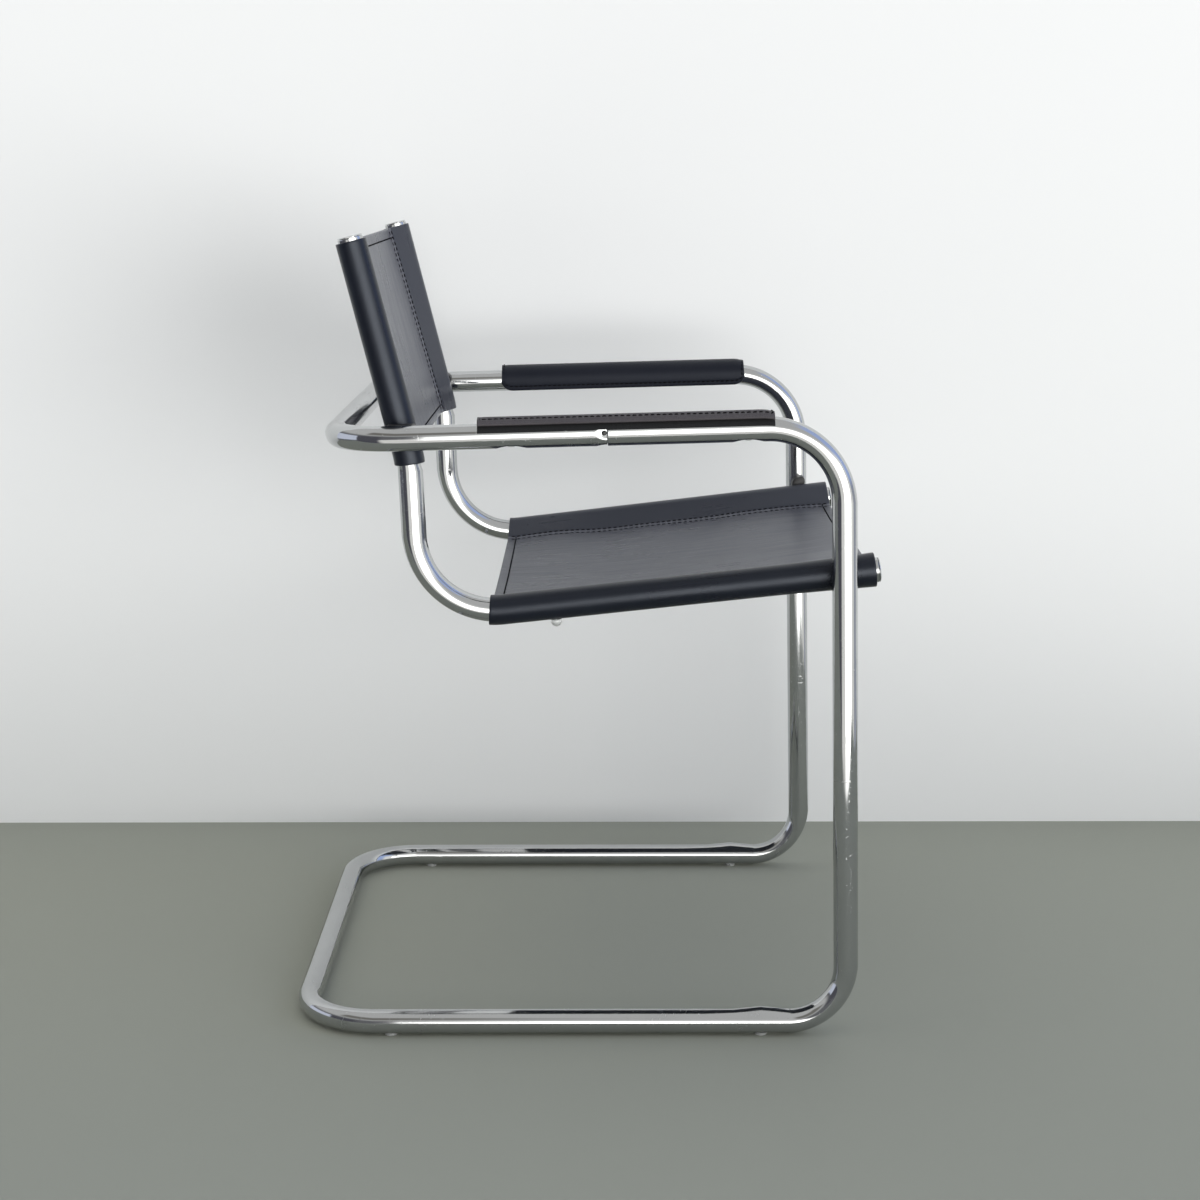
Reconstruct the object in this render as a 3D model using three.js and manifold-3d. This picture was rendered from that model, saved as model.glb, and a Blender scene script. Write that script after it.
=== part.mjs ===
// A cantilever lounge chair: one springy outer loop of chrome tube with its arms, two inner tubes bolted
// to it through black saddles, and a leather seat and back stretched between the inner tubes.
// Millimetres, +Z up. The floor is z = 0, the chair is symmetric about x = 0 and the sitter faces -Y.
import * as THREE from "three";
import { mergeVertices } from "three/addons/utils/BufferGeometryUtils.js";
import Module from "manifold-3d";

const wasm = await Module();
wasm.setup();

// Tube and sheet stock
const tubeDiameter = 25;
const tubeWall = 2;
const leatherThickness = 2.5;
const touchGap = 0.3;
const tubeRadius = tubeDiameter / 2;
const boreRadius = tubeRadius - tubeWall;

// Outer loop, measured on the tube's axis from the middle of the chair and from the floor tube's axis
const frameWidth = 550;
const rearBarDepth = 287.5;
const uprightReach = 272.5;
const uprightLean = THREE.MathUtils.degToRad(1.3);
const armHeight = 613.5;
const armSlope = THREE.MathUtils.degToRad(1.5);
const loopBehindFixing = 68.1;
const armSeamReach = 28;
const rearFloorBend = 75;
const footBend = 57.5;
const armFrontBend = 74;
const armLoopBend = 65;

// Inner tubes: the seat line, the lower post and the back post, with a tight bend and a slight one
const tubeSpacing = 35;
const seatWidth = frameWidth - 2 * tubeSpacing;
const armAboveSeatCorner = 197.8;
const seatCornerDepth = 161.9;
const seatCornerHeight = armHeight - armAboveSeatCorner;
const seatSlope = THREE.MathUtils.degToRad(6.1);
const tubeBeyondFixing = 37.1;
const postLean = THREE.MathUtils.degToRad(2.15);
const postRise = 160.1;
const backLean = THREE.MathUtils.degToRad(14);
const backTubeLength = 224.5;
const seatBend = 79;
const backBend = 100;

// Leather seat and back: each wraps the tubes in a sewn sleeve and hangs a little between the seams
const bareTubeEnd = 3;
const leatherShortOfCorner = 72;
const backLeatherLength = backTubeLength;
const seamInset = 35;
const flapLength = 10;
const seatDrops = {
  seamStart: 2,
  seamEnd: 3,
  seamBelly: 6,
  middleStart: 5,
  middleEnd: 5,
  middleBelly: 11,
};
const backDrops = {
  seamStart: -1.5,
  seamEnd: 4.5,
  seamBelly: 0,
  middleStart: 3,
  middleEnd: 8,
  middleBelly: 3,
};

// End caps, bumpers and glides
const capRim = 1.7;
const capStemLength = 12;
const bumperReach = 137.7;
const bumperRadius = 6;
const bumperRise = 7.5;
const bumperStemRadius = 2;
const bumperDomeShares = [
  [1, 0],
  [1, 0.5],
  [0.87, 0.8],
  [0.5, 0.95],
  [0, 1],
];
const glideProud = 1.5;
const glideRadius = 6.5;
const glideHeight = 4;
const glideStemRadius = 2.5;
const glideStemLength = 9;
const glideFromFoot = 87.5;
const glideFromRearBar = 92.5;

// Saddles, bolts and threaded inserts that fix the inner tubes to the outer loop
const saddleInnerWrap = 6;
const saddleOuterWrap = 7;
const saddleInnerX = seatWidth / 2 + saddleInnerWrap;
const saddleOuterX = frameWidth / 2 - saddleOuterWrap;
const frontSaddleWidth = 15;
const frontSaddleHeight = 50;
const rearSaddleWidth = 30;
const rearSaddleHeight = 24;
const saddleCorner = 5;
const saddleCornerSteps = 2;
const boltRadius = 3;
const boltHeadRadius = 4.6;
const boltHeadHeight = 3;
const insertRadius = 4.5;
const insertBulgeRadius = 6.2;
const insertRecess = 0.9;
const insertBulgeStart = 3.6;
const insertBulgeLength = 2.5;
const insertLength = 10;
const boltEndInInsert = 7;

// Arm joint: a solid spigot inside both tube ends, held by two screws in pressed dimples
const spigotLength = 60;
const seamDimple = { length: 26, width: 12.5, depth: 2.3 };
const jointScrewSetback = 3.2;
const jointScrewRadius = 1.5;
const jointScrewHeadRadius = 2.4;
const jointScrewHeadHeight = 1.2;
const jointScrewLength = 7;

// Arm pads: an outer leather and a lining over the tube, with a tapped strip between them
const padRearReach = 125;
const padFrontReach = 164;
const padLiningThickness = 1.9;
const padStripThickness = 1.2;
const padStripWidth = 14;
const padStripInset = 12;
const padFlapDrop = 11;
const padOuterEdge = THREE.MathUtils.degToRad(30);
const padLiningEdge = THREE.MathUtils.degToRad(22);
const padScrewRear = 94;
const padScrewFront = -137;
const padScrewRadius = 2;
const padScrewHeadRadius = 4;
const padScrewHeadHeight = 1.5;
const padDimple = { length: 31, width: 16, depth: 3 };

// How finely round shapes are faceted
const tubeSides = 14;
const boreSides = 10;
const smallSides = 10;
const dimpleSides = 10;
const dimpleRings = 8;
const sleeveSteps = 12;
const padArcSteps = 8;
const bendStep = THREE.MathUtils.degToRad(15);
const leatherStep = 48;
const cutOverrun = 2;

// What plugs into a tube clears the flats of its faceted bore.
const plugRadius = boreRadius * Math.cos(Math.PI / boreSides) - touchGap;

const chrome = new THREE.MeshStandardMaterial({ color: 0xc9cdd1, roughness: 0.12, metalness: 1 });
const steel = new THREE.MeshStandardMaterial({ color: 0x9a9c9f, roughness: 0.35, metalness: 1 });
const blackLeather = new THREE.MeshStandardMaterial({ color: 0x1f2023, roughness: 0.45, metalness: 0 });
const liningLeather = new THREE.MeshStandardMaterial({ color: 0x2a2a2c, roughness: 0.7, metalness: 0 });
const blackPlastic = new THREE.MeshStandardMaterial({ color: 0x151516, roughness: 0.5, metalness: 0 });
const clearPlastic = new THREE.MeshStandardMaterial({ color: 0xc8ccca, roughness: 0.2, metalness: 0 });

const chair = new THREE.Group();
chair.name = "cantilever_lounge_chair";
const sides = [
  { name: "right", sign: -1 },
  { name: "left", sign: 1 },
];

// Levels and points that follow from the sizes above, in the side view's (y, z) plane
const floorAxisZ = glideProud + tubeRadius;
const armAxisZ = (y) => floorAxisZ + armHeight - Math.tan(armSlope) * (y + uprightReach);
const seatCorner = new THREE.Vector2(seatCornerDepth, floorAxisZ + seatCornerHeight);
const backCorner = new THREE.Vector2(
  seatCornerDepth + postRise * Math.tan(postLean),
  floorAxisZ + seatCornerHeight + postRise,
);
const seatForward = new THREE.Vector2(-Math.cos(seatSlope), Math.sin(seatSlope));
const backUpward = new THREE.Vector2(Math.sin(backLean), Math.cos(backLean));
const uprightFoot = new THREE.Vector2(-uprightReach, floorAxisZ);
const uprightUpward = new THREE.Vector2(Math.sin(uprightLean), Math.cos(uprightLean));
const armRearward = new THREE.Vector2(Math.cos(armSlope), -Math.sin(armSlope));
const armSeam = new THREE.Vector2(-armSeamReach, armAxisZ(-armSeamReach));
const armFrontCorner = crossing(uprightFoot, uprightUpward, armSeam, armRearward);
const frontFixing = crossing(uprightFoot, uprightUpward, seatCorner, seatForward);
const rearFixing = crossing(armSeam, armRearward, backCorner, backUpward);
const armLoopDepth = rearFixing.x + loopBehindFixing;
const seatTubeLength = seatCorner.distanceTo(frontFixing) + tubeBeyondFixing;
const seatLeatherEnd = seatTubeLength - leatherShortOfCorner;

// Where two lines of the side view cross, each given by a point and a direction.
function crossing(pointA, directionA, pointB, directionB) {
  const between = pointB.clone().sub(pointA);
  const distance = between.cross(directionB) / directionA.cross(directionB);
  return pointA.clone().addScaledVector(directionA, distance);
}

function at(x, sidePoint) {
  return new THREE.Vector3(x, sidePoint.x, sidePoint.y);
}

// Straight lengths of tube joined by round bends at the inner corners.
class TubeRun {
  constructor(corners, bendRadii) {
    this.pieces = [];
    this.length = 0;
    let start = corners[0];
    bendRadii.forEach((radius, i) => {
      const corner = corners[i + 1];
      const into = corner.clone().sub(corners[i]).normalize();
      const out = corners[i + 2].clone().sub(corner).normalize();
      const turn = into.angleTo(out);
      const setback = radius * Math.tan(turn / 2);
      const bendStart = corner.clone().addScaledVector(into, -setback);
      this.addStraight(start, bendStart);
      this.addBend(bendStart, into, out, turn, radius);
      start = corner.clone().addScaledVector(out, setback);
    });
    this.addStraight(start, corners.at(-1));
  }

  addStraight(start, end) {
    const length = start.distanceTo(end);
    const direction = end.clone().sub(start).divideScalar(length);
    const point = (s) => start.clone().addScaledVector(direction, s);
    const tangent = () => direction.clone();
    this.add({ length, steps: 1, point, tangent });
  }

  addBend(start, into, out, turn, radius) {
    const inward = out.clone().addScaledVector(into, -Math.cos(turn)).normalize();
    const point = (s) =>
      start
        .clone()
        .addScaledVector(into, radius * Math.sin(s / radius))
        .addScaledVector(inward, radius * (1 - Math.cos(s / radius)));
    const tangent = (s) =>
      into
        .clone()
        .multiplyScalar(Math.cos(s / radius))
        .addScaledVector(inward, Math.sin(s / radius));
    this.add({ length: radius * turn, steps: Math.ceil(turn / bendStep), point, tangent });
  }

  add(piece) {
    this.pieces.push({ ...piece, from: this.length });
    this.length += piece.length;
  }

  pieceAt(s) {
    return this.pieces.findLast((piece) => piece.from <= s) ?? this.pieces[0];
  }

  pointAt(s) {
    const piece = this.pieceAt(s);
    return piece.point(s - piece.from);
  }

  tangentAt(s) {
    const piece = this.pieceAt(s);
    return piece.tangent(s - piece.from);
  }

  // The places along the run, between two of them, where a ring of the tube is needed.
  stations(from = 0, to = this.length) {
    const places = [from];
    for (const piece of this.pieces) {
      for (let i = 0; i < piece.steps; i++) {
        const place = piece.from + (piece.length * i) / piece.steps;
        if (place > from + touchGap && place < to - touchGap) places.push(place);
      }
    }
    places.push(to);
    return places;
  }
}

// A curve that visits only the given stations of a run, for an extrusion with one ring at each.
class StationCurve extends THREE.Curve {
  constructor(run, stations) {
    super();
    this.run = run;
    this.stations = stations;
  }

  station(u) {
    return this.stations[Math.round(u * (this.stations.length - 1))];
  }

  getPointAt(u, target = new THREE.Vector3()) {
    return target.copy(this.run.pointAt(this.station(u)));
  }

  getTangentAt(u, target = new THREE.Vector3()) {
    return target.copy(this.run.tangentAt(this.station(u)));
  }
}

function circlePoints(radius, count) {
  return Array.from({ length: count }, (_, i) => {
    const angle = (2 * Math.PI * i) / count;
    return new THREE.Vector2(radius * Math.cos(angle), radius * Math.sin(angle));
  });
}

// A tube along a run, with a ring at each of the extra places too.
function tubeGeometry(run, extraPlaces = []) {
  const section = new THREE.Shape(circlePoints(tubeRadius, tubeSides));
  section.holes.push(new THREE.Path(circlePoints(boreRadius, boreSides)));
  const stations = [...run.stations(), ...extraPlaces].sort((a, b) => a - b);
  const extrudePath = new StationCurve(run, stations);
  return new THREE.ExtrudeGeometry(section, { steps: stations.length - 1, extrudePath });
}

// Closed solids for joining and cutting, and back to a plain geometry.
function solidOf(geometry) {
  const bare = geometry.index ? geometry.toNonIndexed() : geometry.clone();
  bare.deleteAttribute("normal");
  bare.deleteAttribute("uv");
  const merged = mergeVertices(bare);
  const vertProperties = merged.attributes.position.array;
  const triVerts = new Uint32Array(merged.index.array);
  return new wasm.Manifold(new wasm.Mesh({ numProp: 3, vertProperties, triVerts }));
}

function geometryOf(solid) {
  const mesh = solid.getMesh();
  const indexed = new THREE.BufferGeometry();
  indexed.setAttribute("position", new THREE.BufferAttribute(mesh.vertProperties, mesh.numProp));
  indexed.setIndex(new THREE.BufferAttribute(mesh.triVerts, 1));
  const geometry = indexed.toNonIndexed();
  geometry.computeVertexNormals();
  return geometry;
}

function cut(geometry, cutters) {
  return geometryOf(cutters.reduce((solid, cutter) => solid.subtract(solidOf(cutter)), solidOf(geometry)));
}

function rodBetween(start, end, radius, sidesRound = smallSides) {
  const axis = end.clone().sub(start);
  const geometry = new THREE.CylinderGeometry(radius, radius, axis.length(), sidesRound);
  const upward = new THREE.Vector3(0, 1, 0);
  const turn = new THREE.Quaternion().setFromUnitVectors(upward, axis.clone().normalize());
  const middle = start.clone().lerp(end, 1 / 2);
  return geometry.applyQuaternion(turn).translate(middle.x, middle.y, middle.z);
}

// A turned piece along local +Y, from (radius, height) pairs that run from its foot to its top.
function turned(profile) {
  const points = profile.map(([radius, height]) => new THREE.Vector2(radius, height));
  return new THREE.LatheGeometry(points, smallSides);
}

function addMesh(parent, name, geometry, material) {
  const mesh = new THREE.Mesh(geometry, material);
  mesh.name = name;
  parent.add(mesh);
  return mesh;
}

// Local frames on one side of the chair. Each has +X across the chair, +Y along the tube to the rear or
// across it, and +Z up or along the post.
function tubeFrame(x, sidePoint, tilt) {
  return new THREE.Matrix4().makeRotationX(-tilt).setPosition(at(x, sidePoint));
}

const armFrame = (side) => tubeFrame((side.sign * frameWidth) / 2, armSeam, armSlope);
const seatFrame = (side) => tubeFrame((side.sign * seatWidth) / 2, seatCorner, seatSlope);
const backFrame = (side) => tubeFrame((side.sign * seatWidth) / 2, backCorner, backLean);

function groupIn(frame) {
  const group = new THREE.Group();
  group.applyMatrix4(frame);
  chair.add(group);
  return group;
}

// The runs of the four bent tubes. The base runs from one arm seam down, round the floor and up to the
// other arm's seam.
function baseRun() {
  const x = frameWidth / 2;
  const half = (sign) => [
    at(sign * x, armSeam),
    at(sign * x, armFrontCorner),
    at(sign * x, uprightFoot),
    new THREE.Vector3(sign * x, rearBarDepth, floorAxisZ),
  ];
  const bends = [armFrontBend, footBend, rearFloorBend];
  return new TubeRun([...half(-1), ...half(1).reverse()], [...bends, ...bends.toReversed()]);
}

function armLoopRun() {
  const x = frameWidth / 2;
  const tubeEnd = armSeam.clone().addScaledVector(armRearward, touchGap);
  const rear = new THREE.Vector2(armLoopDepth, armAxisZ(armLoopDepth));
  const corners = [at(-x, tubeEnd), at(-x, rear), at(x, rear), at(x, tubeEnd)];
  return new TubeRun(corners, [armLoopBend, armLoopBend]);
}

function innerRun(x) {
  const front = seatCorner.clone().addScaledVector(seatForward, seatTubeLength);
  const top = backCorner.clone().addScaledVector(backUpward, backTubeLength);
  const corners = [at(x, front), at(x, seatCorner), at(x, backCorner), at(x, top)];
  return new TubeRun(corners, [seatBend, backBend]);
}

// A dimple pressed into a tube: the pocket outside and the wall pushed in behind it.
function dimpleForm(frame, centre, radii, grown) {
  const form = new THREE.SphereGeometry(1, dimpleSides, dimpleRings);
  form.scale(radii.x + grown, radii.y + grown, radii.z + grown);
  form.translate(centre.x, centre.y, centre.z);
  return solidOf(form.applyMatrix4(frame));
}

function pressDimple(tube, frame, centre, radii, boreCore) {
  const pocket = dimpleForm(frame, centre, radii, 0);
  const pushedWall = dimpleForm(frame, centre, radii, tubeWall).intersect(boreCore).subtract(pocket);
  return tube.subtract(pocket).add(pushedWall);
}

// A core that reaches halfway into the tube's wall, between two places along the arm.
function armCore(frame, from, to) {
  const start = new THREE.Vector3(0, from, 0).applyMatrix4(frame);
  const end = new THREE.Vector3(0, to, 0).applyMatrix4(frame);
  return solidOf(rodBetween(start, end, boreRadius + tubeWall / 2, tubeSides));
}

function pressPadDimple(tube, side, along) {
  const frame = armFrame(side);
  const centre = new THREE.Vector3(0, along, -tubeRadius);
  const radii = new THREE.Vector3(padDimple.width / 2, padDimple.length / 2, padDimple.depth);
  const core = armCore(frame, along - padDimple.length, along + padDimple.length);
  return pressDimple(tube, frame, centre, radii, core);
}

// The joint's dimples lie at the arm loop's cut end, one on the outer side and one underneath.
const jointDirections = [
  { name: "side", out: (side) => new THREE.Vector3(side.sign, 0, 0) },
  { name: "under", out: () => new THREE.Vector3(0, 0, -1) },
];

function seamDimpleRadii(out) {
  const across = new THREE.Vector3(1 - Math.abs(out.x), 0, 1 - Math.abs(out.z));
  return new THREE.Vector3(0, seamDimple.length / 2, 0)
    .addScaledVector(across, seamDimple.width / 2)
    .add(new THREE.Vector3(Math.abs(out.x), 0, Math.abs(out.z)).multiplyScalar(seamDimple.depth));
}

function pressSeamDimples(tube, side) {
  const frame = armFrame(side);
  const core = armCore(frame, touchGap, seamDimple.length);
  return jointDirections.reduce((pressed, direction) => {
    const out = direction.out(side);
    const centre = out.clone().multiplyScalar(tubeRadius);
    return pressDimple(pressed, frame, centre, seamDimpleRadii(out), core);
  }, tube);
}

// Screw and bolt holes, as cutters in the chair's frame.
function padScrewHole(side, along) {
  const frame = armFrame(side);
  const low = new THREE.Vector3(0, along, -tubeRadius - cutOverrun).applyMatrix4(frame);
  const high = new THREE.Vector3(0, along, tubeRadius + cutOverrun).applyMatrix4(frame);
  return rodBetween(low, high, padScrewRadius + touchGap);
}

function jointScrewHole(side, direction) {
  const frame = armFrame(side);
  const out = direction.out(side);
  const along = new THREE.Vector3(0, jointScrewSetback, 0);
  const tip = tubeRadius - seamDimple.depth - jointScrewLength - touchGap;
  const inner = along.clone().addScaledVector(out, tip);
  const outer = along.clone().addScaledVector(out, tubeRadius + cutOverrun);
  return rodBetween(inner.applyMatrix4(frame), outer.applyMatrix4(frame), jointScrewRadius + touchGap);
}

function fixingHole(side, fixing, fromX, toX, radius) {
  return rodBetween(at(side.sign * fromX, fixing), at(side.sign * toX, fixing), radius);
}

function insertHole(side, fixing) {
  const fromX = frameWidth / 2 - tubeRadius - cutOverrun;
  return fixingHole(side, fixing, fromX, frameWidth / 2, insertRadius + touchGap);
}

function boltHole(side, fixing) {
  const fromX = seatWidth / 2 - tubeRadius - cutOverrun;
  return fixingHole(side, fixing, fromX, saddleOuterX + cutOverrun, boltRadius + touchGap);
}

function sleeveHole(side, fixing) {
  return fixingHole(side, fixing, seatWidth / 2, saddleOuterX + cutOverrun, boltRadius + touchGap);
}

function bumperHole(side) {
  const frame = seatFrame(side);
  const inner = new THREE.Vector3(0, -bumperReach, 0).applyMatrix4(frame);
  const outer = new THREE.Vector3(0, -bumperReach, -tubeDiameter).applyMatrix4(frame);
  return rodBetween(inner, outer, bumperStemRadius + touchGap);
}

const glidePlaces = [
  { name: "front", y: glideFromFoot - uprightReach },
  { name: "rear", y: rearBarDepth - glideFromRearBar },
];

function glideHole(side, y) {
  const low = new THREE.Vector3((side.sign * frameWidth) / 2, y, 0);
  const high = low.clone().setZ(floorAxisZ);
  return rodBetween(low, high, glideStemRadius + touchGap);
}

// The outer loop: base tube and arm loop tube.
function addOuterLoop() {
  let base = solidOf(tubeGeometry(baseRun()));
  let armLoop = solidOf(tubeGeometry(armLoopRun()));
  const baseCutters = [];
  const armLoopCutters = [];
  for (const side of sides) {
    base = pressPadDimple(base, side, padScrewFront);
    armLoop = pressPadDimple(armLoop, side, padScrewRear);
    armLoop = pressSeamDimples(armLoop, side);
    baseCutters.push(padScrewHole(side, padScrewFront), insertHole(side, frontFixing));
    baseCutters.push(...glidePlaces.map((place) => glideHole(side, place.y)));
    armLoopCutters.push(padScrewHole(side, padScrewRear), insertHole(side, rearFixing));
    armLoopCutters.push(...jointDirections.map((direction) => jointScrewHole(side, direction)));
  }
  addMesh(chair, "base_tube", cut(geometryOf(base), baseCutters), chrome);
  addMesh(chair, "arm_loop_tube", cut(geometryOf(armLoop), armLoopCutters), chrome);
}

// A screw along local +Y, its head above the origin and its shank below.
function screwGeometry(shankRadius, shankLength, headRadius, headHeight) {
  return turned([
    [0, -shankLength],
    [shankRadius, -shankLength],
    [shankRadius, 0],
    [headRadius, 0],
    [headRadius, headHeight],
    [0, headHeight],
  ]);
}

// The spigot and screws of one arm's joint.
function addArmJoint(side) {
  const frame = armFrame(side);
  const ends = [-1, 1].map((sign) => new THREE.Vector3(0, (sign * spigotLength) / 2, 0).applyMatrix4(frame));
  const pockets = jointDirections.map((direction) => {
    const out = direction.out(side);
    const centre = out.clone().multiplyScalar(tubeRadius);
    return geometryOf(dimpleForm(frame, centre, seamDimpleRadii(out), tubeWall + touchGap));
  });
  const holes = jointDirections.map((direction) => jointScrewHole(side, direction));
  const spigot = rodBetween(ends[0], ends[1], plugRadius, tubeSides);
  addMesh(chair, `arm_joint_spigot_${side.name}`, cut(spigot, [...pockets, ...holes]), steel);
  const group = groupIn(frame);
  for (const direction of jointDirections) {
    const out = direction.out(side);
    const headSeat = tubeRadius - seamDimple.depth + 2 * touchGap;
    const head = [jointScrewHeadRadius, jointScrewHeadHeight];
    const screw = screwGeometry(jointScrewRadius, jointScrewLength, ...head);
    const upward = new THREE.Vector3(0, 1, 0);
    screw.applyQuaternion(new THREE.Quaternion().setFromUnitVectors(upward, out));
    const mesh = addMesh(group, `arm_joint_screw_${direction.name}_${side.name}`, screw, steel);
    mesh.position.copy(out).multiplyScalar(headSeat).setY(jointScrewSetback);
  }
}

// The pad's leathers hug the tube from the outer edge over the top and hang as a flap on the inner side.
function padShape(side, innerRadius, thickness, edgeAngle) {
  const outerRadius = innerRadius + thickness;
  const arc = (radius) =>
    Array.from({ length: padArcSteps + 1 }, (_, i) => {
      const angle = edgeAngle + ((Math.PI - edgeAngle) * i) / padArcSteps;
      return [radius * Math.cos(angle), radius * Math.sin(angle)];
    });
  const outline = [
    ...arc(outerRadius),
    [-outerRadius, -padFlapDrop],
    [-innerRadius, -padFlapDrop],
    ...arc(innerRadius).reverse(),
  ];
  return new THREE.Shape(outline.map(([x, z]) => new THREE.Vector2(side.sign * x, z)));
}

function stripShape(innerRadius) {
  const halfAngle = padStripWidth / 2 / innerRadius;
  const steps = padArcSteps / 2;
  const arc = (radius) =>
    Array.from({ length: steps + 1 }, (_, i) => {
      const angle = Math.PI / 2 - halfAngle + (2 * halfAngle * i) / steps;
      return new THREE.Vector2(radius * Math.cos(angle), radius * Math.sin(angle));
    });
  return new THREE.Shape([...arc(innerRadius + padStripThickness), ...arc(innerRadius).reverse()]);
}

// Extruded along the arm from its rear end forward.
function alongArm(shape, rear, front) {
  const geometry = new THREE.ExtrudeGeometry(shape, { depth: rear - front, bevelEnabled: false });
  return geometry.rotateX(Math.PI / 2).translate(0, rear, 0);
}

function uprightHole(along, low, high, radius) {
  return rodBetween(new THREE.Vector3(0, along, low), new THREE.Vector3(0, along, high), radius);
}

function addArmPad(side) {
  const group = groupIn(armFrame(side));
  const liningRadius = tubeRadius + touchGap;
  const stripRadius = liningRadius + padLiningThickness + touchGap;
  const outerLeatherRadius = stripRadius + padStripThickness + touchGap;
  const screwPlaces = [
    { name: "front", along: padScrewFront },
    { name: "rear", along: padScrewRear },
  ];
  const screwHoles = screwPlaces.map(({ along }) =>
    uprightHole(along, tubeRadius, stripRadius + padStripThickness + cutOverrun, padScrewRadius + touchGap),
  );
  const outerShape = padShape(side, outerLeatherRadius, leatherThickness, padOuterEdge);
  const liningShape = padShape(side, liningRadius, padLiningThickness, padLiningEdge);
  const lining = alongArm(liningShape, padRearReach, -padFrontReach);
  const stripRear = padRearReach - padStripInset;
  const strip = alongArm(stripShape(stripRadius), stripRear, padStripInset - padFrontReach);
  const outer = alongArm(outerShape, padRearReach, -padFrontReach);
  addMesh(group, `arm_pad_leather_${side.name}`, outer, blackLeather);
  addMesh(group, `arm_pad_lining_${side.name}`, cut(lining, screwHoles), liningLeather);
  addMesh(group, `arm_pad_strip_${side.name}`, cut(strip, screwHoles), steel);
  const headSeat = tubeRadius - padDimple.depth + 2 * touchGap;
  const shankLength = headSeat + stripRadius + padStripThickness;
  for (const { name, along } of screwPlaces) {
    const screw = screwGeometry(padScrewRadius, shankLength, padScrewHeadRadius, padScrewHeadHeight);
    screw.rotateX(-Math.PI / 2);
    addMesh(group, `arm_pad_screw_${name}_${side.name}`, screw, steel).position.set(0, along, -headSeat);
  }
}

// One inner tube with its holes, its two end caps and its bumper.
function addInnerTube(side) {
  const cutters = [boltHole(side, frontFixing), boltHole(side, rearFixing), bumperHole(side)];
  const run = innerRun((side.sign * seatWidth) / 2);
  const tube = tubeGeometry(run, [seatLeatherEnd, run.length - bareTubeEnd - backLeatherLength]);
  addMesh(chair, `seat_tube_${side.name}`, cut(tube, cutters), chrome);
  const cap = () =>
    turned([
      [0, -capStemLength],
      [plugRadius, -capStemLength],
      [plugRadius, touchGap],
      [tubeRadius, touchGap],
      [tubeRadius, touchGap + capRim / 2],
      [tubeRadius - capRim / 2, touchGap + capRim],
      [0, touchGap + capRim],
    ]);
  const frontCap = cap().rotateZ(Math.PI);
  const seatGroup = groupIn(seatFrame(side));
  addMesh(seatGroup, `seat_cap_${side.name}`, frontCap, chrome).position.set(0, -seatTubeLength, 0);
  const topCap = cap().rotateX(Math.PI / 2);
  const backGroup = groupIn(backFrame(side));
  addMesh(backGroup, `back_cap_${side.name}`, topCap, chrome).position.set(0, 0, backTubeLength);
  const domeStart = tubeRadius + touchGap + leatherThickness + touchGap;
  const bumper = turned([
    [0, boreRadius - bumperStemRadius],
    [bumperStemRadius, boreRadius - bumperStemRadius],
    [bumperStemRadius, domeStart],
    ...bumperDomeShares.map(([wide, high]) => [bumperRadius * wide, domeStart + bumperRise * high]),
  ]).rotateX(-Math.PI / 2);
  addMesh(seatGroup, `seat_bumper_${side.name}`, bumper, clearPlastic).position.set(0, -bumperReach, 0);
}

// A saddle block between an inner tube's leather and the outer loop, hollowed for both.
function saddleGeometry(side, fixing, width, height, cutters) {
  const corner = saddleCorner;
  const outline = new THREE.Shape();
  const halfWidth = width / 2;
  const halfHeight = height / 2;
  const corners = [
    [halfWidth - corner, corner - halfHeight, -Math.PI / 2],
    [halfWidth - corner, halfHeight - corner, 0],
    [corner - halfWidth, halfHeight - corner, Math.PI / 2],
    [corner - halfWidth, corner - halfHeight, Math.PI],
  ];
  for (const [y, z, startAngle] of corners) {
    outline.absarc(y, z, corner, startAngle, startAngle + Math.PI / 2, false);
  }
  const depth = saddleOuterX - saddleInnerX;
  const curveSegments = saddleCornerSteps;
  const block = new THREE.ExtrudeGeometry(outline, { depth, bevelEnabled: false, curveSegments });
  block.rotateZ(Math.PI / 2).rotateY(Math.PI / 2);
  const startX = side.sign > 0 ? saddleInnerX : -saddleOuterX;
  block.translate(startX, fixing.x, fixing.y);
  return cut(block, [...cutters, boltHole(side, fixing)]);
}

// The space that a tube and what covers it take up along the tube's whole run, its flats at the given
// radius.
function runCore(run, radius) {
  const stations = run.stations();
  const extrudePath = new StationCurve(run, stations);
  const section = new THREE.Shape(circlePoints(radius / Math.cos(Math.PI / tubeSides), tubeSides));
  return new THREE.ExtrudeGeometry(section, { steps: stations.length - 1, extrudePath });
}

function addSaddle(side, name, fixing, size, outerRun) {
  const sleeveClear = tubeRadius + touchGap + leatherThickness + touchGap;
  const cutters = [
    runCore(outerRun, tubeRadius + touchGap),
    runCore(innerRun((side.sign * seatWidth) / 2), sleeveClear),
  ];
  const geometry = saddleGeometry(side, fixing, size.width, size.height, cutters);
  addMesh(chair, `saddle_${name}_${side.name}`, geometry, blackPlastic);
}

function alongX(geometry, side) {
  return geometry.rotateZ((-side.sign * Math.PI) / 2);
}

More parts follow.
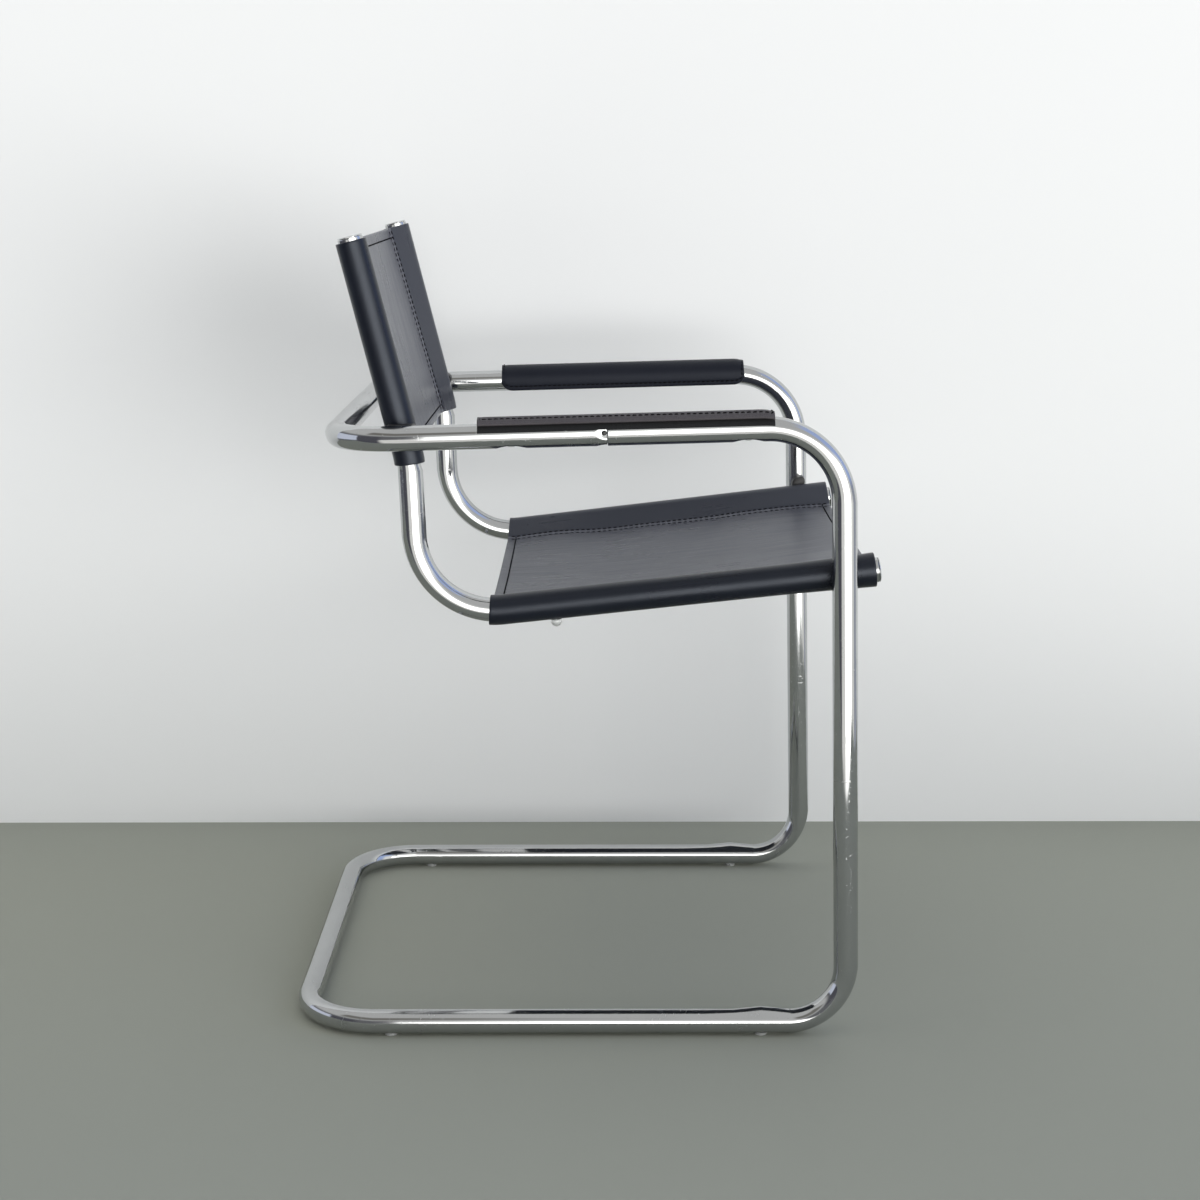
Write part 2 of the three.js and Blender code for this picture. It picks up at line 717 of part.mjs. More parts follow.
function addFixing(side, name, fixing) {
  const tubeFace = frameWidth / 2 - tubeRadius;
  const headSeatX = seatWidth / 2 - tubeRadius - touchGap;
  const boltLength = tubeFace + boltEndInInsert - headSeatX;
  const screw = screwGeometry(boltRadius, boltLength, boltHeadRadius, boltHeadHeight);
  const bolt = alongX(screw.rotateZ(Math.PI), side);
  const headSeat = at(side.sign * headSeatX, fixing);
  addMesh(chair, `frame_bolt_${name}_${side.name}`, bolt, steel).position.copy(headSeat);
  const insertBore = boltRadius + touchGap;
  const insert = turned([
    [insertBore, 0],
    [insertRadius, 0],
    [insertRadius, insertBulgeStart],
    [insertBulgeRadius, insertBulgeStart],
    [insertBulgeRadius, insertBulgeStart + insertBulgeLength],
    [insertRadius, insertBulgeStart + insertBulgeLength],
    [insertRadius, insertLength],
    [insertBore, insertLength],
    [insertBore, 0],
  ]);
  const mesh = addMesh(chair, `thread_insert_${name}_${side.name}`, alongX(insert, side), steel);
  mesh.position.copy(at(side.sign * (tubeFace + insertRecess), fixing));
}

// The section of a sling across the chair, as (x, height above the tube plane) pairs. The sleeve's tail
// tilts with the drop of its seam, and the panel hangs in a shallow curve between the seams.
function slingSection(seamDrop, middleDrop) {
  const axisX = seatWidth / 2;
  const holeRadius = tubeRadius + touchGap;
  const sleeveRadius = holeRadius + leatherThickness;
  const halfWrap = Math.PI - Math.acos(sleeveRadius / seamInset);
  const tailSlope = sleeveRadius / Math.sqrt(seamInset ** 2 - sleeveRadius ** 2);
  const tilt = Math.asin(seamDrop / seamInset);
  const tail = (inset, height) => {
    const turnedPoint = new THREE.Vector2(-inset, height).rotateAround(new THREE.Vector2(), tilt);
    return new THREE.Vector2(axisX + turnedPoint.x, turnedPoint.y);
  };
  const wrap = (radius) =>
    Array.from({ length: sleeveSteps + 1 }, (_, i) => {
      const angle = tilt - halfWrap + (2 * halfWrap * i) / sleeveSteps;
      return new THREE.Vector2(axisX + radius * Math.cos(angle), radius * Math.sin(angle));
    });
  const halfPanel = leatherThickness / 2;
  const flapFace = -halfPanel - leatherThickness;
  const panelShares = [0.35, 0.65, 0.87];
  const panelPoint = (share, height) => {
    const drop = middleDrop + (seamDrop - middleDrop) * share ** 2;
    return new THREE.Vector2(share * (axisX - seamInset), height - drop);
  };
  const half = [
    ...panelShares.map((share) => panelPoint(share, -halfPanel)),
    tail(seamInset + flapLength, -halfPanel),
    tail(seamInset + flapLength, flapFace),
    tail(seamInset + flapFace / tailSlope, flapFace),
    ...wrap(sleeveRadius),
    tail(seamInset - halfPanel / tailSlope, halfPanel),
    ...panelShares.toReversed().map((share) => panelPoint(share, halfPanel)),
  ];
  const hole = [...wrap(holeRadius).reverse(), tail(seamInset * (holeRadius / sleeveRadius), 0)];
  const mirrored = (points) => points.map((point) => new THREE.Vector2(-point.x, point.y)).reverse();
  const outline = [panelPoint(0, -halfPanel), ...half, panelPoint(0, halfPanel), ...mirrored(half)];
  return { outline, holes: [hole, mirrored(hole)] };
}

// A closed solid through sections of equal counts, first and last one capped.
function loftGeometry(sections, place) {
  const rings = sections.map(({ outline, holes }) => [outline, ...holes]);
  const ringSize = rings[0].flat().length;
  const positions = rings.flatMap((ring, i) => ring.flat().flatMap((point) => place(i, point).toArray()));
  const triangles = [];
  for (let i = 0; i + 1 < rings.length; i++) {
    let first = i * ringSize;
    for (const loop of rings[i]) {
      loop.forEach((_, j) => {
        const a = first + j;
        const b = first + ((j + 1) % loop.length);
        triangles.push(a, b, b + ringSize, a, b + ringSize, a + ringSize);
      });
      first += loop.length;
    }
  }
  const lastRing = (rings.length - 1) * ringSize;
  const copied = (loop) => [...loop];
  const capOf = ({ outline, holes }) =>
    THREE.ShapeUtils.triangulateShape(copied(outline), holes.map(copied));
  for (const [a, b, c] of capOf(sections[0])) triangles.push(c, b, a);
  for (const corners of capOf(sections.at(-1))) triangles.push(...corners.map((k) => k + lastRing));
  const geometry = new THREE.BufferGeometry();
  geometry.setAttribute("position", new THREE.Float32BufferAttribute(positions, 3));
  geometry.setIndex(triangles);
  geometry.computeVertexNormals();
  return geometry;
}

// Places along a run with none further apart than the leather's own step.
function leatherStations(run, from, to) {
  const bounds = run.stations(from, to);
  return bounds.flatMap((place, i) => {
    if (i === 0) return [place];
    const previous = bounds[i - 1];
    const count = Math.ceil((place - previous) / leatherStep);
    return Array.from({ length: count }, (_, k) => previous + ((place - previous) * (k + 1)) / count);
  });
}

function slingGeometry(from, to, drops, cutters) {
  const run = innerRun(0);
  const stations = leatherStations(run, from, to).reverse();
  const sections = stations.map((place) => {
    const share = (place - from) / (to - from);
    const belly = Math.sin(Math.PI * share);
    const { lerp } = THREE.MathUtils;
    const seamDrop = lerp(drops.seamStart, drops.seamEnd, share) + drops.seamBelly * belly;
    const middleDrop = lerp(drops.middleStart, drops.middleEnd, share) + drops.middleBelly * belly;
    return slingSection(seamDrop, middleDrop);
  });
  const across = new THREE.Vector3(1, 0, 0);
  const place = (i, point) => {
    const facing = across.clone().cross(run.tangentAt(stations[i]));
    return run.pointAt(stations[i]).addScaledVector(across, point.x).addScaledVector(facing, point.y);
  };
  return cut(loftGeometry(sections, place), cutters);
}

function addSlings() {
  const run = innerRun(0);
  const seatHoles = sides.flatMap((side) => [sleeveHole(side, frontFixing), bumperHole(side)]);
  const backHoles = sides.map((side) => sleeveHole(side, rearFixing));
  const seat = slingGeometry(bareTubeEnd, seatLeatherEnd, seatDrops, seatHoles);
  const backEnd = run.length - bareTubeEnd;
  const back = slingGeometry(backEnd - backLeatherLength, backEnd, backDrops, backHoles);
  addMesh(chair, "seat_leather", seat, blackLeather);
  addMesh(chair, "back_leather", back, blackLeather);
}

// Glides plug into the floor rails and lift the tube just clear of the floor.
function addGlide(side, place) {
  const x = (side.sign * frameWidth) / 2;
  const foot = new THREE.Vector3(x, place.y, 0);
  const top = foot.clone().setZ(glideHeight);
  const rail = [-1, 1].map((sign) => new THREE.Vector3(x, place.y + sign * 2 * glideRadius, floorAxisZ));
  const pad = solidOf(rodBetween(foot, top, glideRadius));
  const seated = pad.subtract(solidOf(rodBetween(rail[0], rail[1], tubeRadius + touchGap, 2 * tubeSides)));
  const stem = solidOf(rodBetween(foot, foot.clone().setZ(glideStemLength), glideStemRadius));
  addMesh(chair, `floor_glide_${place.name}_${side.name}`, geometryOf(seated.add(stem)), clearPlastic);
}

addOuterLoop();
addSlings();
for (const side of sides) {
  addInnerTube(side);
  addArmJoint(side);
  addArmPad(side);
  const frontSize = { width: frontSaddleWidth, height: frontSaddleHeight };
  const rearSize = { width: rearSaddleWidth, height: rearSaddleHeight };
  addSaddle(side, "front", frontFixing, frontSize, baseRun());
  addSaddle(side, "rear", rearFixing, rearSize, armLoopRun());
  addFixing(side, "front", frontFixing);
  addFixing(side, "rear", rearFixing);
  glidePlaces.forEach((place) => addGlide(side, place));
}

export default chair;
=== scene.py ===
"""A cantilever lounge chair of chrome tube with a leather seat and back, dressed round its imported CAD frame.

Metres, +Z up. The floor is z = 0, the chair is symmetric about x = 0 and the sitter faces -Y.
"""

import math

import bmesh
import bpy
import numpy as np
from mathutils import Matrix, Vector


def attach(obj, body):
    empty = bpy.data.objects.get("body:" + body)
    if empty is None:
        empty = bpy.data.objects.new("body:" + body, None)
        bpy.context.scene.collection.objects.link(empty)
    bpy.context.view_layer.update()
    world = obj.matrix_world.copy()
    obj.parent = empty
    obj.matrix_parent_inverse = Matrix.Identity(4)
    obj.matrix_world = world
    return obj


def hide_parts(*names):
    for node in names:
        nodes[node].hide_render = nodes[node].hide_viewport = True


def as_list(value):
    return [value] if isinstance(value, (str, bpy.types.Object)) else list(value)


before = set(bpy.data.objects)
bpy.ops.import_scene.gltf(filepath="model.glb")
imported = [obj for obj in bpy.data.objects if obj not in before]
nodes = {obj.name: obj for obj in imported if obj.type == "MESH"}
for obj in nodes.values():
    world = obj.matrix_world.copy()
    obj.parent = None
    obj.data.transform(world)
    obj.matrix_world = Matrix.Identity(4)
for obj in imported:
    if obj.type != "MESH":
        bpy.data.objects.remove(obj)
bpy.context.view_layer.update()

# Camera
# It stands beside the chair's right arm, a little above it, and looks slightly down across the seat.
CAMERA_PLACE = Vector((-2.3959, -0.0221, 0.8824))
CAMERA_YAW = math.radians(0.044)
CAMERA_PITCH = math.radians(11.386)
CAMERA_ROLL = math.radians(0.093)
CAMERA_LENS_MM = 65.697


def aimed(place, yaw, pitch, roll):
    """The camera's frame: yaw turns it from +X towards +Y, pitch tips it down."""
    forward = Vector((math.cos(pitch) * math.cos(yaw), math.cos(pitch) * math.sin(yaw), -math.sin(pitch)))
    level_right = Vector((math.sin(yaw), -math.cos(yaw), 0))
    level_up = level_right.cross(forward)
    right = level_right * math.cos(roll) - level_up * math.sin(roll)
    up = right.cross(forward)
    return Matrix.Translation(place) @ Matrix((right, up, -forward)).transposed().to_4x4()


camera = bpy.data.objects.new("camera", bpy.data.cameras.new("camera"))
camera.matrix_world = aimed(CAMERA_PLACE, CAMERA_YAW, CAMERA_PITCH, CAMERA_ROLL)
camera.data.lens = CAMERA_LENS_MM
camera.data.clip_start = 0.05
bpy.context.scene.collection.objects.link(camera)
bpy.context.scene.camera = camera
bpy.context.scene.view_settings.view_transform = "Standard"

# Floor, wall and light
# A plain pale floor meets a plain paler wall close behind the chair. Seen from its back, the wall lets the
# view through. The soft light comes from the room around them: a broad opening on the camera's side, a pale
# ceiling, a bluish front, a dim rear, and bright ground past the floor's edge on the camera's side.
WALL_X = 0.46
WALL_HALF_WIDTH = 2.2
WALL_HEIGHT = 2.4
FLOOR_CORNER = (-1.15, -1.5, 0)
FLOOR_SIZE = (4.15, 4.5)
FLOOR_COLOUR = (0.34, 0.355, 0.305, 1)
WALL_COLOUR = (0.77, 0.785, 0.80, 1)
BACKDROP_COLOUR = (0.82, 0.82, 0.82, 1)


def add_node(tree, kind, inputs=None, **settings):
    """A shader node with its settings, and its inputs given by name or number as values or linked sockets."""
    node = tree.nodes.new(kind)
    for key, value in settings.items():
        setattr(node, key, value)
    for key, value in (inputs or {}).items():
        if isinstance(value, bpy.types.NodeSocket):
            tree.links.new(value, node.inputs[key])
        else:
            node.inputs[key].default_value = value
    return node


def new_material(name):
    material = bpy.data.materials.new(name)
    material.use_nodes = True
    material.node_tree.nodes.clear()
    return material, material.node_tree


def set_surface(tree, inputs):
    """Ends a material with one plain surface, with its inputs given by name."""
    surface = add_node(tree, "ShaderNodeBsdfPrincipled", inputs)
    add_node(tree, "ShaderNodeOutputMaterial", {"Surface": surface.outputs[0]})


def new_object(name, mesh):
    piece = bpy.data.objects.new(name, mesh)
    bpy.context.scene.collection.objects.link(piece)
    return piece


def coat(piece, material):
    piece.data.materials.clear()
    piece.data.materials.append(material)


def new_quad(name, corner, side_a, side_b):
    """A flat four-sided piece with a corner and two sides, which faces as their cross product does."""
    corner, side_a, side_b = Vector(corner), Vector(side_a), Vector(side_b)
    mesh = bpy.data.meshes.new(name)
    mesh.from_pydata([corner, corner + side_a, corner + side_a + side_b, corner + side_b], [], [(0, 1, 2, 3)])
    return new_object(name, mesh)


floor = new_quad("studio_floor", FLOOR_CORNER, (FLOOR_SIZE[0], 0, 0), (0, FLOOR_SIZE[1], 0))
floor_paint, tree = new_material("studio_floor_paint")
set_surface(tree, {"Base Color": FLOOR_COLOUR, "Roughness": 0.9})
coat(floor, floor_paint)

wall_corner = (WALL_X, -WALL_HALF_WIDTH, 0)
wall = new_quad("studio_wall", wall_corner, (0, 0, WALL_HEIGHT), (0, 2 * WALL_HALF_WIDTH, 0))
wall_paint, tree = new_material("studio_wall_paint")
side = add_node(tree, "ShaderNodeNewGeometry")
paint = add_node(tree, "ShaderNodeBsdfPrincipled", {"Base Color": WALL_COLOUR, "Roughness": 0.8})
clear = add_node(tree, "ShaderNodeBsdfTransparent")
inputs = {0: side.outputs["Backfacing"], 1: paint.outputs[0], 2: clear.outputs[0]}
one_way = add_node(tree, "ShaderNodeMixShader", inputs)
add_node(tree, "ShaderNodeOutputMaterial", {"Surface": one_way.outputs[0]})
coat(wall, wall_paint)


# Each patch of the room: azimuths from the camera's side towards the chair's front, elevations and softness
# of its edge, all in degrees, and its colour. Later patches lie over earlier ones.
ROOM_COLOUR = (0.20, 0.20, 0.21, 1)
ROOM_PATCHES = (
    ((-190, 190), (24, 95), 7, (0.70, 0.70, 0.69, 1)),
    ((-60, -3), (30, 50), 5, (0.26, 0.25, 0.23, 1)),
    ((55, 165), (4, 60), 7, (0.56, 0.70, 1.10, 1)),
    ((62, 132), (-95, 6), 8, (0.50, 0.53, 0.60, 1)),
    ((-126, -34), (-95, 18), 5, (0.12, 0.12, 0.14, 1)),
    ((-112, -70), (-9, 16), 2, (0.85, 0.90, 1.05, 1)),
    ((-22, 80), (-95, -4), 6, (1.05, 1.03, 0.98, 1)),
    ((-34, 74), (-16, -6), 4, (1.45, 1.43, 1.38, 1)),
    ((-34, 74), (-34, -8), 6, (1.10, 1.08, 1.03, 1)),
    ((-5, 74), (-12, 26), 6, (1.25, 1.24, 1.20, 1)),
    ((-4, 52), (-15, 15), 4, (5.0, 4.95, 4.8, 1)),
)


def banded(tree, value, low, high, to_low=0.0, to_high=1.0, kind="LINEAR"):
    """One value up to the low place and another from the high one, with a ramp between."""
    inputs = {"Value": value, "From Min": low, "From Max": high, "To Min": to_low, "To Max": to_high}
    return add_node(tree, "ShaderNodeMapRange", inputs, interpolation_type=kind).outputs[0]


def math_node(tree, operation, *values):
    return add_node(tree, "ShaderNodeMath", dict(enumerate(values)), operation=operation).outputs[0]


def colour_mix(tree, share, start, end):
    return add_node(tree, "ShaderNodeMix", {0: share, 6: start, 7: end}, data_type="RGBA").outputs[2]


world = bpy.data.worlds.new("studio_room")
bpy.context.scene.world = world
world.use_nodes = True
tree = world.node_tree
tree.nodes.clear()
direction = add_node(tree, "ShaderNodeTexCoord").outputs["Generated"]
parts = add_node(tree, "ShaderNodeSeparateXYZ", {0: direction})
towards_camera = math_node(tree, "MULTIPLY", parts.outputs["X"], -1.0)
towards_front = math_node(tree, "MULTIPLY", parts.outputs["Y"], -1.0)
azimuth = math_node(tree, "ARCTAN2", towards_front, towards_camera)
elevation = math_node(tree, "ARCSINE", parts.outputs["Z"])
room = ROOM_COLOUR
for azimuths, elevations, softness, colour in ROOM_PATCHES:
    inside = 1.0
    for angle, (low, high) in ((azimuth, azimuths), (elevation, elevations)):
        for place, soft in ((low, softness), (high, -softness)):
            edges = math.radians(place - soft), math.radians(place + soft)
            step = banded(tree, angle, *edges, kind="SMOOTHSTEP")
            inside = math_node(tree, "MULTIPLY", inside, step)
    room = colour_mix(tree, inside, room, colour)
seen = add_node(tree, "ShaderNodeLightPath")
backdrop = add_node(tree, "ShaderNodeBackground", {"Color": BACKDROP_COLOUR, "Strength": 1.0})
light = add_node(tree, "ShaderNodeBackground", {"Color": room, "Strength": 1.0})
inputs = {0: seen.outputs["Is Camera Ray"], 1: light.outputs[0], 2: backdrop.outputs[0]}
chosen = add_node(tree, "ShaderNodeMixShader", inputs)
add_node(tree, "ShaderNodeOutputWorld", {"Surface": chosen.outputs[0]})

# Outer loop
# One bent tube makes the floor bars, the uprights and the front half of each arm. A second makes the rear
# half of the arms and the bar behind the back. Both are chromed steel tube, 25 by 2 millimetres, bent cold,
# so the outside of each bend is a little flattened. Dimples for the screws are pressed in before plating.
TUBE_RADIUS = 0.0125
TUBE_WALL = 0.002
BORE_RADIUS = TUBE_RADIUS - TUBE_WALL
TUBE_SIDES = 64
TUBE_LIP = 0.0005
BEND_FLATTENING = 0.0019
DIMPLE_STEP = 0.001
FLOOR_AXIS_Z = 0.014
FRAME_HALF_WIDTH = 0.275
UPRIGHT_FOOT_Y = -0.2725
UPRIGHT_LEAN = math.radians(1.3)
REAR_BAR_Y = 0.2875
ARM_RISE = 0.6135
ARM_SLOPE = math.radians(1.5)
ARM_SEAM_Y = -0.028
ARM_LOOP_Y = 0.2425
ARM_SEAM_GAP = 0.0003


def side_point(x, yz):
    return Vector((x, yz[0], yz[1]))


def crossing(point_a, direction_a, point_b, direction_b):
    """Where two lines of the side view cross."""
    between = Vector(point_b) - Vector(point_a)
    distance = between.cross(direction_b) / direction_a.cross(direction_b)
    return Vector(point_a) + direction_a * distance


def arm_axis_z(y):
    return FLOOR_AXIS_Z + ARM_RISE - math.tan(ARM_SLOPE) * (y - UPRIGHT_FOOT_Y)


UPRIGHT_UP = Vector((math.sin(UPRIGHT_LEAN), math.cos(UPRIGHT_LEAN)))
ARM_REARWARD = Vector((math.cos(ARM_SLOPE), -math.sin(ARM_SLOPE)))
UPRIGHT_FOOT = Vector((UPRIGHT_FOOT_Y, FLOOR_AXIS_Z))
ARM_SEAM = Vector((ARM_SEAM_Y, arm_axis_z(ARM_SEAM_Y)))
ARM_FRONT_CORNER = crossing(UPRIGHT_FOOT, UPRIGHT_UP, ARM_SEAM, ARM_REARWARD)
SIDES = (("right", -1), ("left", 1))


class TubePath:
    """The axis of a bent tube: straight lengths joined by round bends."""

    def __init__(self, corners, bend_radii):
        self.parts = []
        self.length = 0.0
        start = corners[0]
        for before, corner, after, radius in zip(corners, corners[1:], corners[2:], bend_radii):
            into = (corner - before).normalized()
            out = (after - corner).normalized()
            turn = into.angle(out)
            bend_start = corner - into * (radius * math.tan(turn / 2))
            self.add(start, into, None, (bend_start - start).length, 0.0)
            inward = (out - into * into.dot(out)).normalized()
            self.add(bend_start, into, inward, radius * turn, radius)
            start = corner + out * (radius * math.tan(turn / 2))
        self.add(start, (corners[-1] - start).normalized(), None, (corners[-1] - start).length, 0.0)

    def add(self, start, into, inward, length, radius):
        self.parts.append((self.length, start, into, inward, length, radius))
        self.length += length

    def at(self, place):
        """The point and direction there, the way out of the bend, and how far into the bend it is, 0 to 1."""
        found = [part for part in self.parts if part[0] <= place] or self.parts[:1]
        begins, start, into, inward, length, radius = found[-1]
        along = place - begins
        if inward is None:
            return start + into * along, into, None, 0.0
        angle = along / radius
        outward = into * math.sin(angle) - inward * math.cos(angle)
        point = start + inward * radius + outward * radius
        return point, into * math.cos(angle) + inward * math.sin(angle), outward, along / length

    def places(self, straight_step, bend_step, dense=(), lip=TUBE_LIP):
        """Where along the path a ring of the tube is needed, closer in bends, dimples and at the cut ends."""
        wanted = {0.0, self.length}
        for share in (0.12, 0.45, 1.0, 2.0):
            wanted |= {lip * share, self.length - lip * share}
        for begins, _, _, inward, length, radius in self.parts:
            step = straight_step if inward is None else bend_step * radius
            count = max(1, math.ceil(length / step))
            wanted |= {begins + length * k / count for k in range(count + 1)}
        for low, high in dense:
            count = math.ceil((high - low) / DIMPLE_STEP)
            wanted |= {low + (high - low) * k / count for k in range(count + 1)}
        inside = sorted(place for place in wanted if 0 <= place <= self.length)
        return [b for a, b in zip([-1.0] + inside, inside) if b - a > lip / 10]


def rounded_loss(distance, rounding):
    """How much a rounded edge takes off, at a distance from the cut end."""
    if distance >= rounding:
        return 0.0
    return rounding - math.sqrt(rounding**2 - (rounding - distance) ** 2)


def grid_mesh(name, grid, wrap_rows, wrap_columns):
    """A mesh of quads through a grid of points, joined at its borders where it wraps round."""
    rows, columns = grid.shape[:2]
    row = np.arange(rows if wrap_rows else rows - 1)
    column = np.arange(columns if wrap_columns else columns - 1)
    i, j = (index.ravel() for index in np.meshgrid(row, column, indexing="ij"))
    i_next, j_next = (i + 1) % rows, (j + 1) % columns
    corners = ((i, j), (i, j_next), (i_next, j_next), (i_next, j))
    faces = np.stack([row * columns + column for row, column in corners], 1)
    mesh = bpy.data.meshes.new(name)
    mesh.from_pydata(grid.reshape(-1, 3).tolist(), [], faces.tolist())
    return mesh


def opened(mesh):
    work = bmesh.new()
    work.from_mesh(mesh)
    return work


def closed(work, mesh):
    """Writes an edited bmesh to its mesh and frees it."""
    work.to_mesh(mesh)
    work.free()
    return mesh


def face_outward(mesh, sharp_angle=math.radians(35)):
    """Turns a closed mesh's faces outward and shades it smooth, apart from its sharp edges."""
    work = opened(mesh)
    bmesh.ops.recalc_face_normals(work, faces=work.faces)
    if work.calc_volume(signed=True) < 0:
        bmesh.ops.reverse_faces(work, faces=work.faces)
    closed(work, mesh)
    mesh.polygons.foreach_set("use_smooth", [True] * len(mesh.polygons))
    mesh.set_sharp_from_angle(angle=sharp_angle)


def press_dimple(points, axis_point, along, outward, length, width, depth):
    """Presses a smooth dimple into the wall of a tube."""
    across = np.cross(along, outward)
    offset = points - np.array(axis_point)
    reach = ((offset @ along) / (length / 2)) ** 2 + ((offset @ across) / (width / 2)) ** 2
    near = (reach < 1) & (offset @ outward > 0)
    press = np.where(near, depth * (1 - np.minimum(reach, 1)) ** 1.3, 0)
    points -= press[..., None] * np.array(outward)


def rings_along(path, places, sides):
    """Along a path, the middle of each ring, the directions to its points, and where a bend turns away."""
    angles = np.arange(sides) * (2 * math.pi / sides)
    reference = Vector((1, 0, 0)) if abs(path.at(0)[1].x) < 0.9 else Vector((0, 0, 1))
    for place in places:
        point, along, outward, share = path.at(place)
        reference = (reference - along * reference.dot(along)).normalized()
        radial = np.outer(np.cos(angles), reference) + np.outer(np.sin(angles), along.cross(reference))
        yield place, np.array(point), radial, outward, share


def bent_tube(name, path, places, dimples=()):
    """A hollow tube along a path, its cut ends broken and its bends flattened on the outside."""
    outer, inner = [], []
    for place, point, radial, outward, share in rings_along(path, places, TUBE_SIDES):
        loss = rounded_loss(min(place, path.length - place), TUBE_LIP)
        pulled = np.zeros(TUBE_SIDES)
        if outward is not None:
            ramp = math.sin(math.pi * share) ** 0.7 if 0 < share < 1 else 0.0
            pulled = BEND_FLATTENING * ramp * np.maximum(radial @ np.array(outward), 0) ** 2
        outer.append(point + radial * (TUBE_RADIUS - loss - pulled)[:, None])
        inner.append(point + radial * (BORE_RADIUS + loss - pulled)[:, None])
    points = np.array(outer + inner[::-1])
    for dimple in dimples:
        press_dimple(points, *dimple)
    mesh = grid_mesh(name, points, True, True)
    face_outward(mesh)
    return new_object(name, mesh)


def drill(piece, holes):
    """Bores straight holes into a piece, each given by its two ends and its radius."""
    work = bmesh.new()
    for start, end, radius in holes:
        axis = Vector(end) - Vector(start)
        turn = axis.to_track_quat("Z", "Y").to_matrix().to_4x4()
        bmesh.ops.create_cone(
            work,
            cap_ends=True,
            segments=24,
            radius1=radius,
            radius2=radius,
            depth=axis.length,
            matrix=Matrix.Translation((Vector(start) + Vector(end)) / 2) @ turn,
        )
    subtract(piece, new_object("drill_bits", closed(work, bpy.data.meshes.new("drill_bits"))))


def subtract(piece, cutter):
    """Cuts one closed piece with another and throws the cutter away."""
    boolean = piece.modifiers.new("cut", "BOOLEAN")
    boolean.object = cutter
    boolean.operation = "DIFFERENCE"
    boolean.solver = "EXACT"
    bpy.context.view_layer.update()
    cut = bpy.data.meshes.new_from_object(piece.evaluated_get(bpy.context.evaluated_depsgraph_get()))
    piece.modifiers.clear()
    old, piece.data = piece.data, cut
    cut.name = piece.name
    bpy.data.meshes.remove(old)
    bpy.data.objects.remove(cutter)
    face_outward(piece.data)


PAD_SCREW_PLACES = {"rear": 0.094, "front": -0.137}
# Length, width and depth of a dimple
PAD_DIMPLE = (0.032, 0.018, 0.0036)
SEAM_DIMPLE = (0.023, 0.0142, 0.0028)
SIDE_SCREW_TILT = math.radians(6.5)
JOINT_SCREW_SETBACK = 0.0032
JOINT_HOLE_RADIUS = 0.0027
PAD_HOLE_RADIUS = 0.0023
INSERT_HOLE_RADIUS = 0.0048
DRILL_REACH = 0.02
SEAT_CORNER = Vector((0.1619, FLOOR_AXIS_Z + 0.4157))
SEAT_SLOPE = math.radians(6.1)
SEAT_FORWARD = Vector((-math.cos(SEAT_SLOPE), math.sin(SEAT_SLOPE)))
POST_RISE = 0.1601
POST_LEAN = math.radians(2.15)
BACK_CORNER = SEAT_CORNER + Vector((POST_RISE * math.tan(POST_LEAN), POST_RISE))
BACK_LEAN = math.radians(14)
BACK_UPWARD = Vector((math.sin(BACK_LEAN), math.cos(BACK_LEAN)))
FRONT_FIXING = crossing(UPRIGHT_FOOT, UPRIGHT_UP, SEAT_CORNER, SEAT_FORWARD)
REAR_FIXING = crossing(ARM_SEAM, ARM_REARWARD, BACK_CORNER, BACK_UPWARD)


def arm_point(x, along):
    """A point on the arm's axis, measured along the arm from its seam to the rear."""
    return side_point(x, ARM_SEAM + ARM_REARWARD * along)


def base_half(x):
    """Corners of one side of the floor and upright tube, from the arm's seam to the rear floor bar."""
    rear = Vector((REAR_BAR_Y, FLOOR_AXIS_Z))
    return [side_point(x, yz) for yz in (ARM_SEAM, ARM_FRONT_CORNER, UPRIGHT_FOOT, rear)]


BASE_BENDS = [0.074, 0.0575, 0.075]
LOOP_BENDS = [0.065, 0.065]
base_corners = base_half(-FRAME_HALF_WIDTH) + base_half(FRAME_HALF_WIDTH)[::-1]
base_path = TubePath(base_corners, BASE_BENDS + BASE_BENDS[::-1])
loop_rear = Vector((ARM_LOOP_Y, arm_axis_z(ARM_LOOP_Y)))
loop_start = ARM_SEAM + ARM_REARWARD * ARM_SEAM_GAP
loop_side = (loop_start, loop_rear)
loop_corners = [side_point(-FRAME_HALF_WIDTH, yz) for yz in loop_side]
loop_corners += [side_point(FRAME_HALF_WIDTH, yz) for yz in loop_side[::-1]]
loop_path = TubePath(loop_corners, LOOP_BENDS)
arm_along = side_point(0, ARM_REARWARD)
arm_down = side_point(0, Vector((-math.sin(ARM_SLOPE), -math.cos(ARM_SLOPE))))


def joint_ways(sign):
    """The directions in which the two screws of an arm's joint face."""
    aside = Vector((sign, 0, 0)) * math.cos(SIDE_SCREW_TILT) - arm_down * math.sin(SIDE_SCREW_TILT)
    return {"side": aside, "under": arm_down}


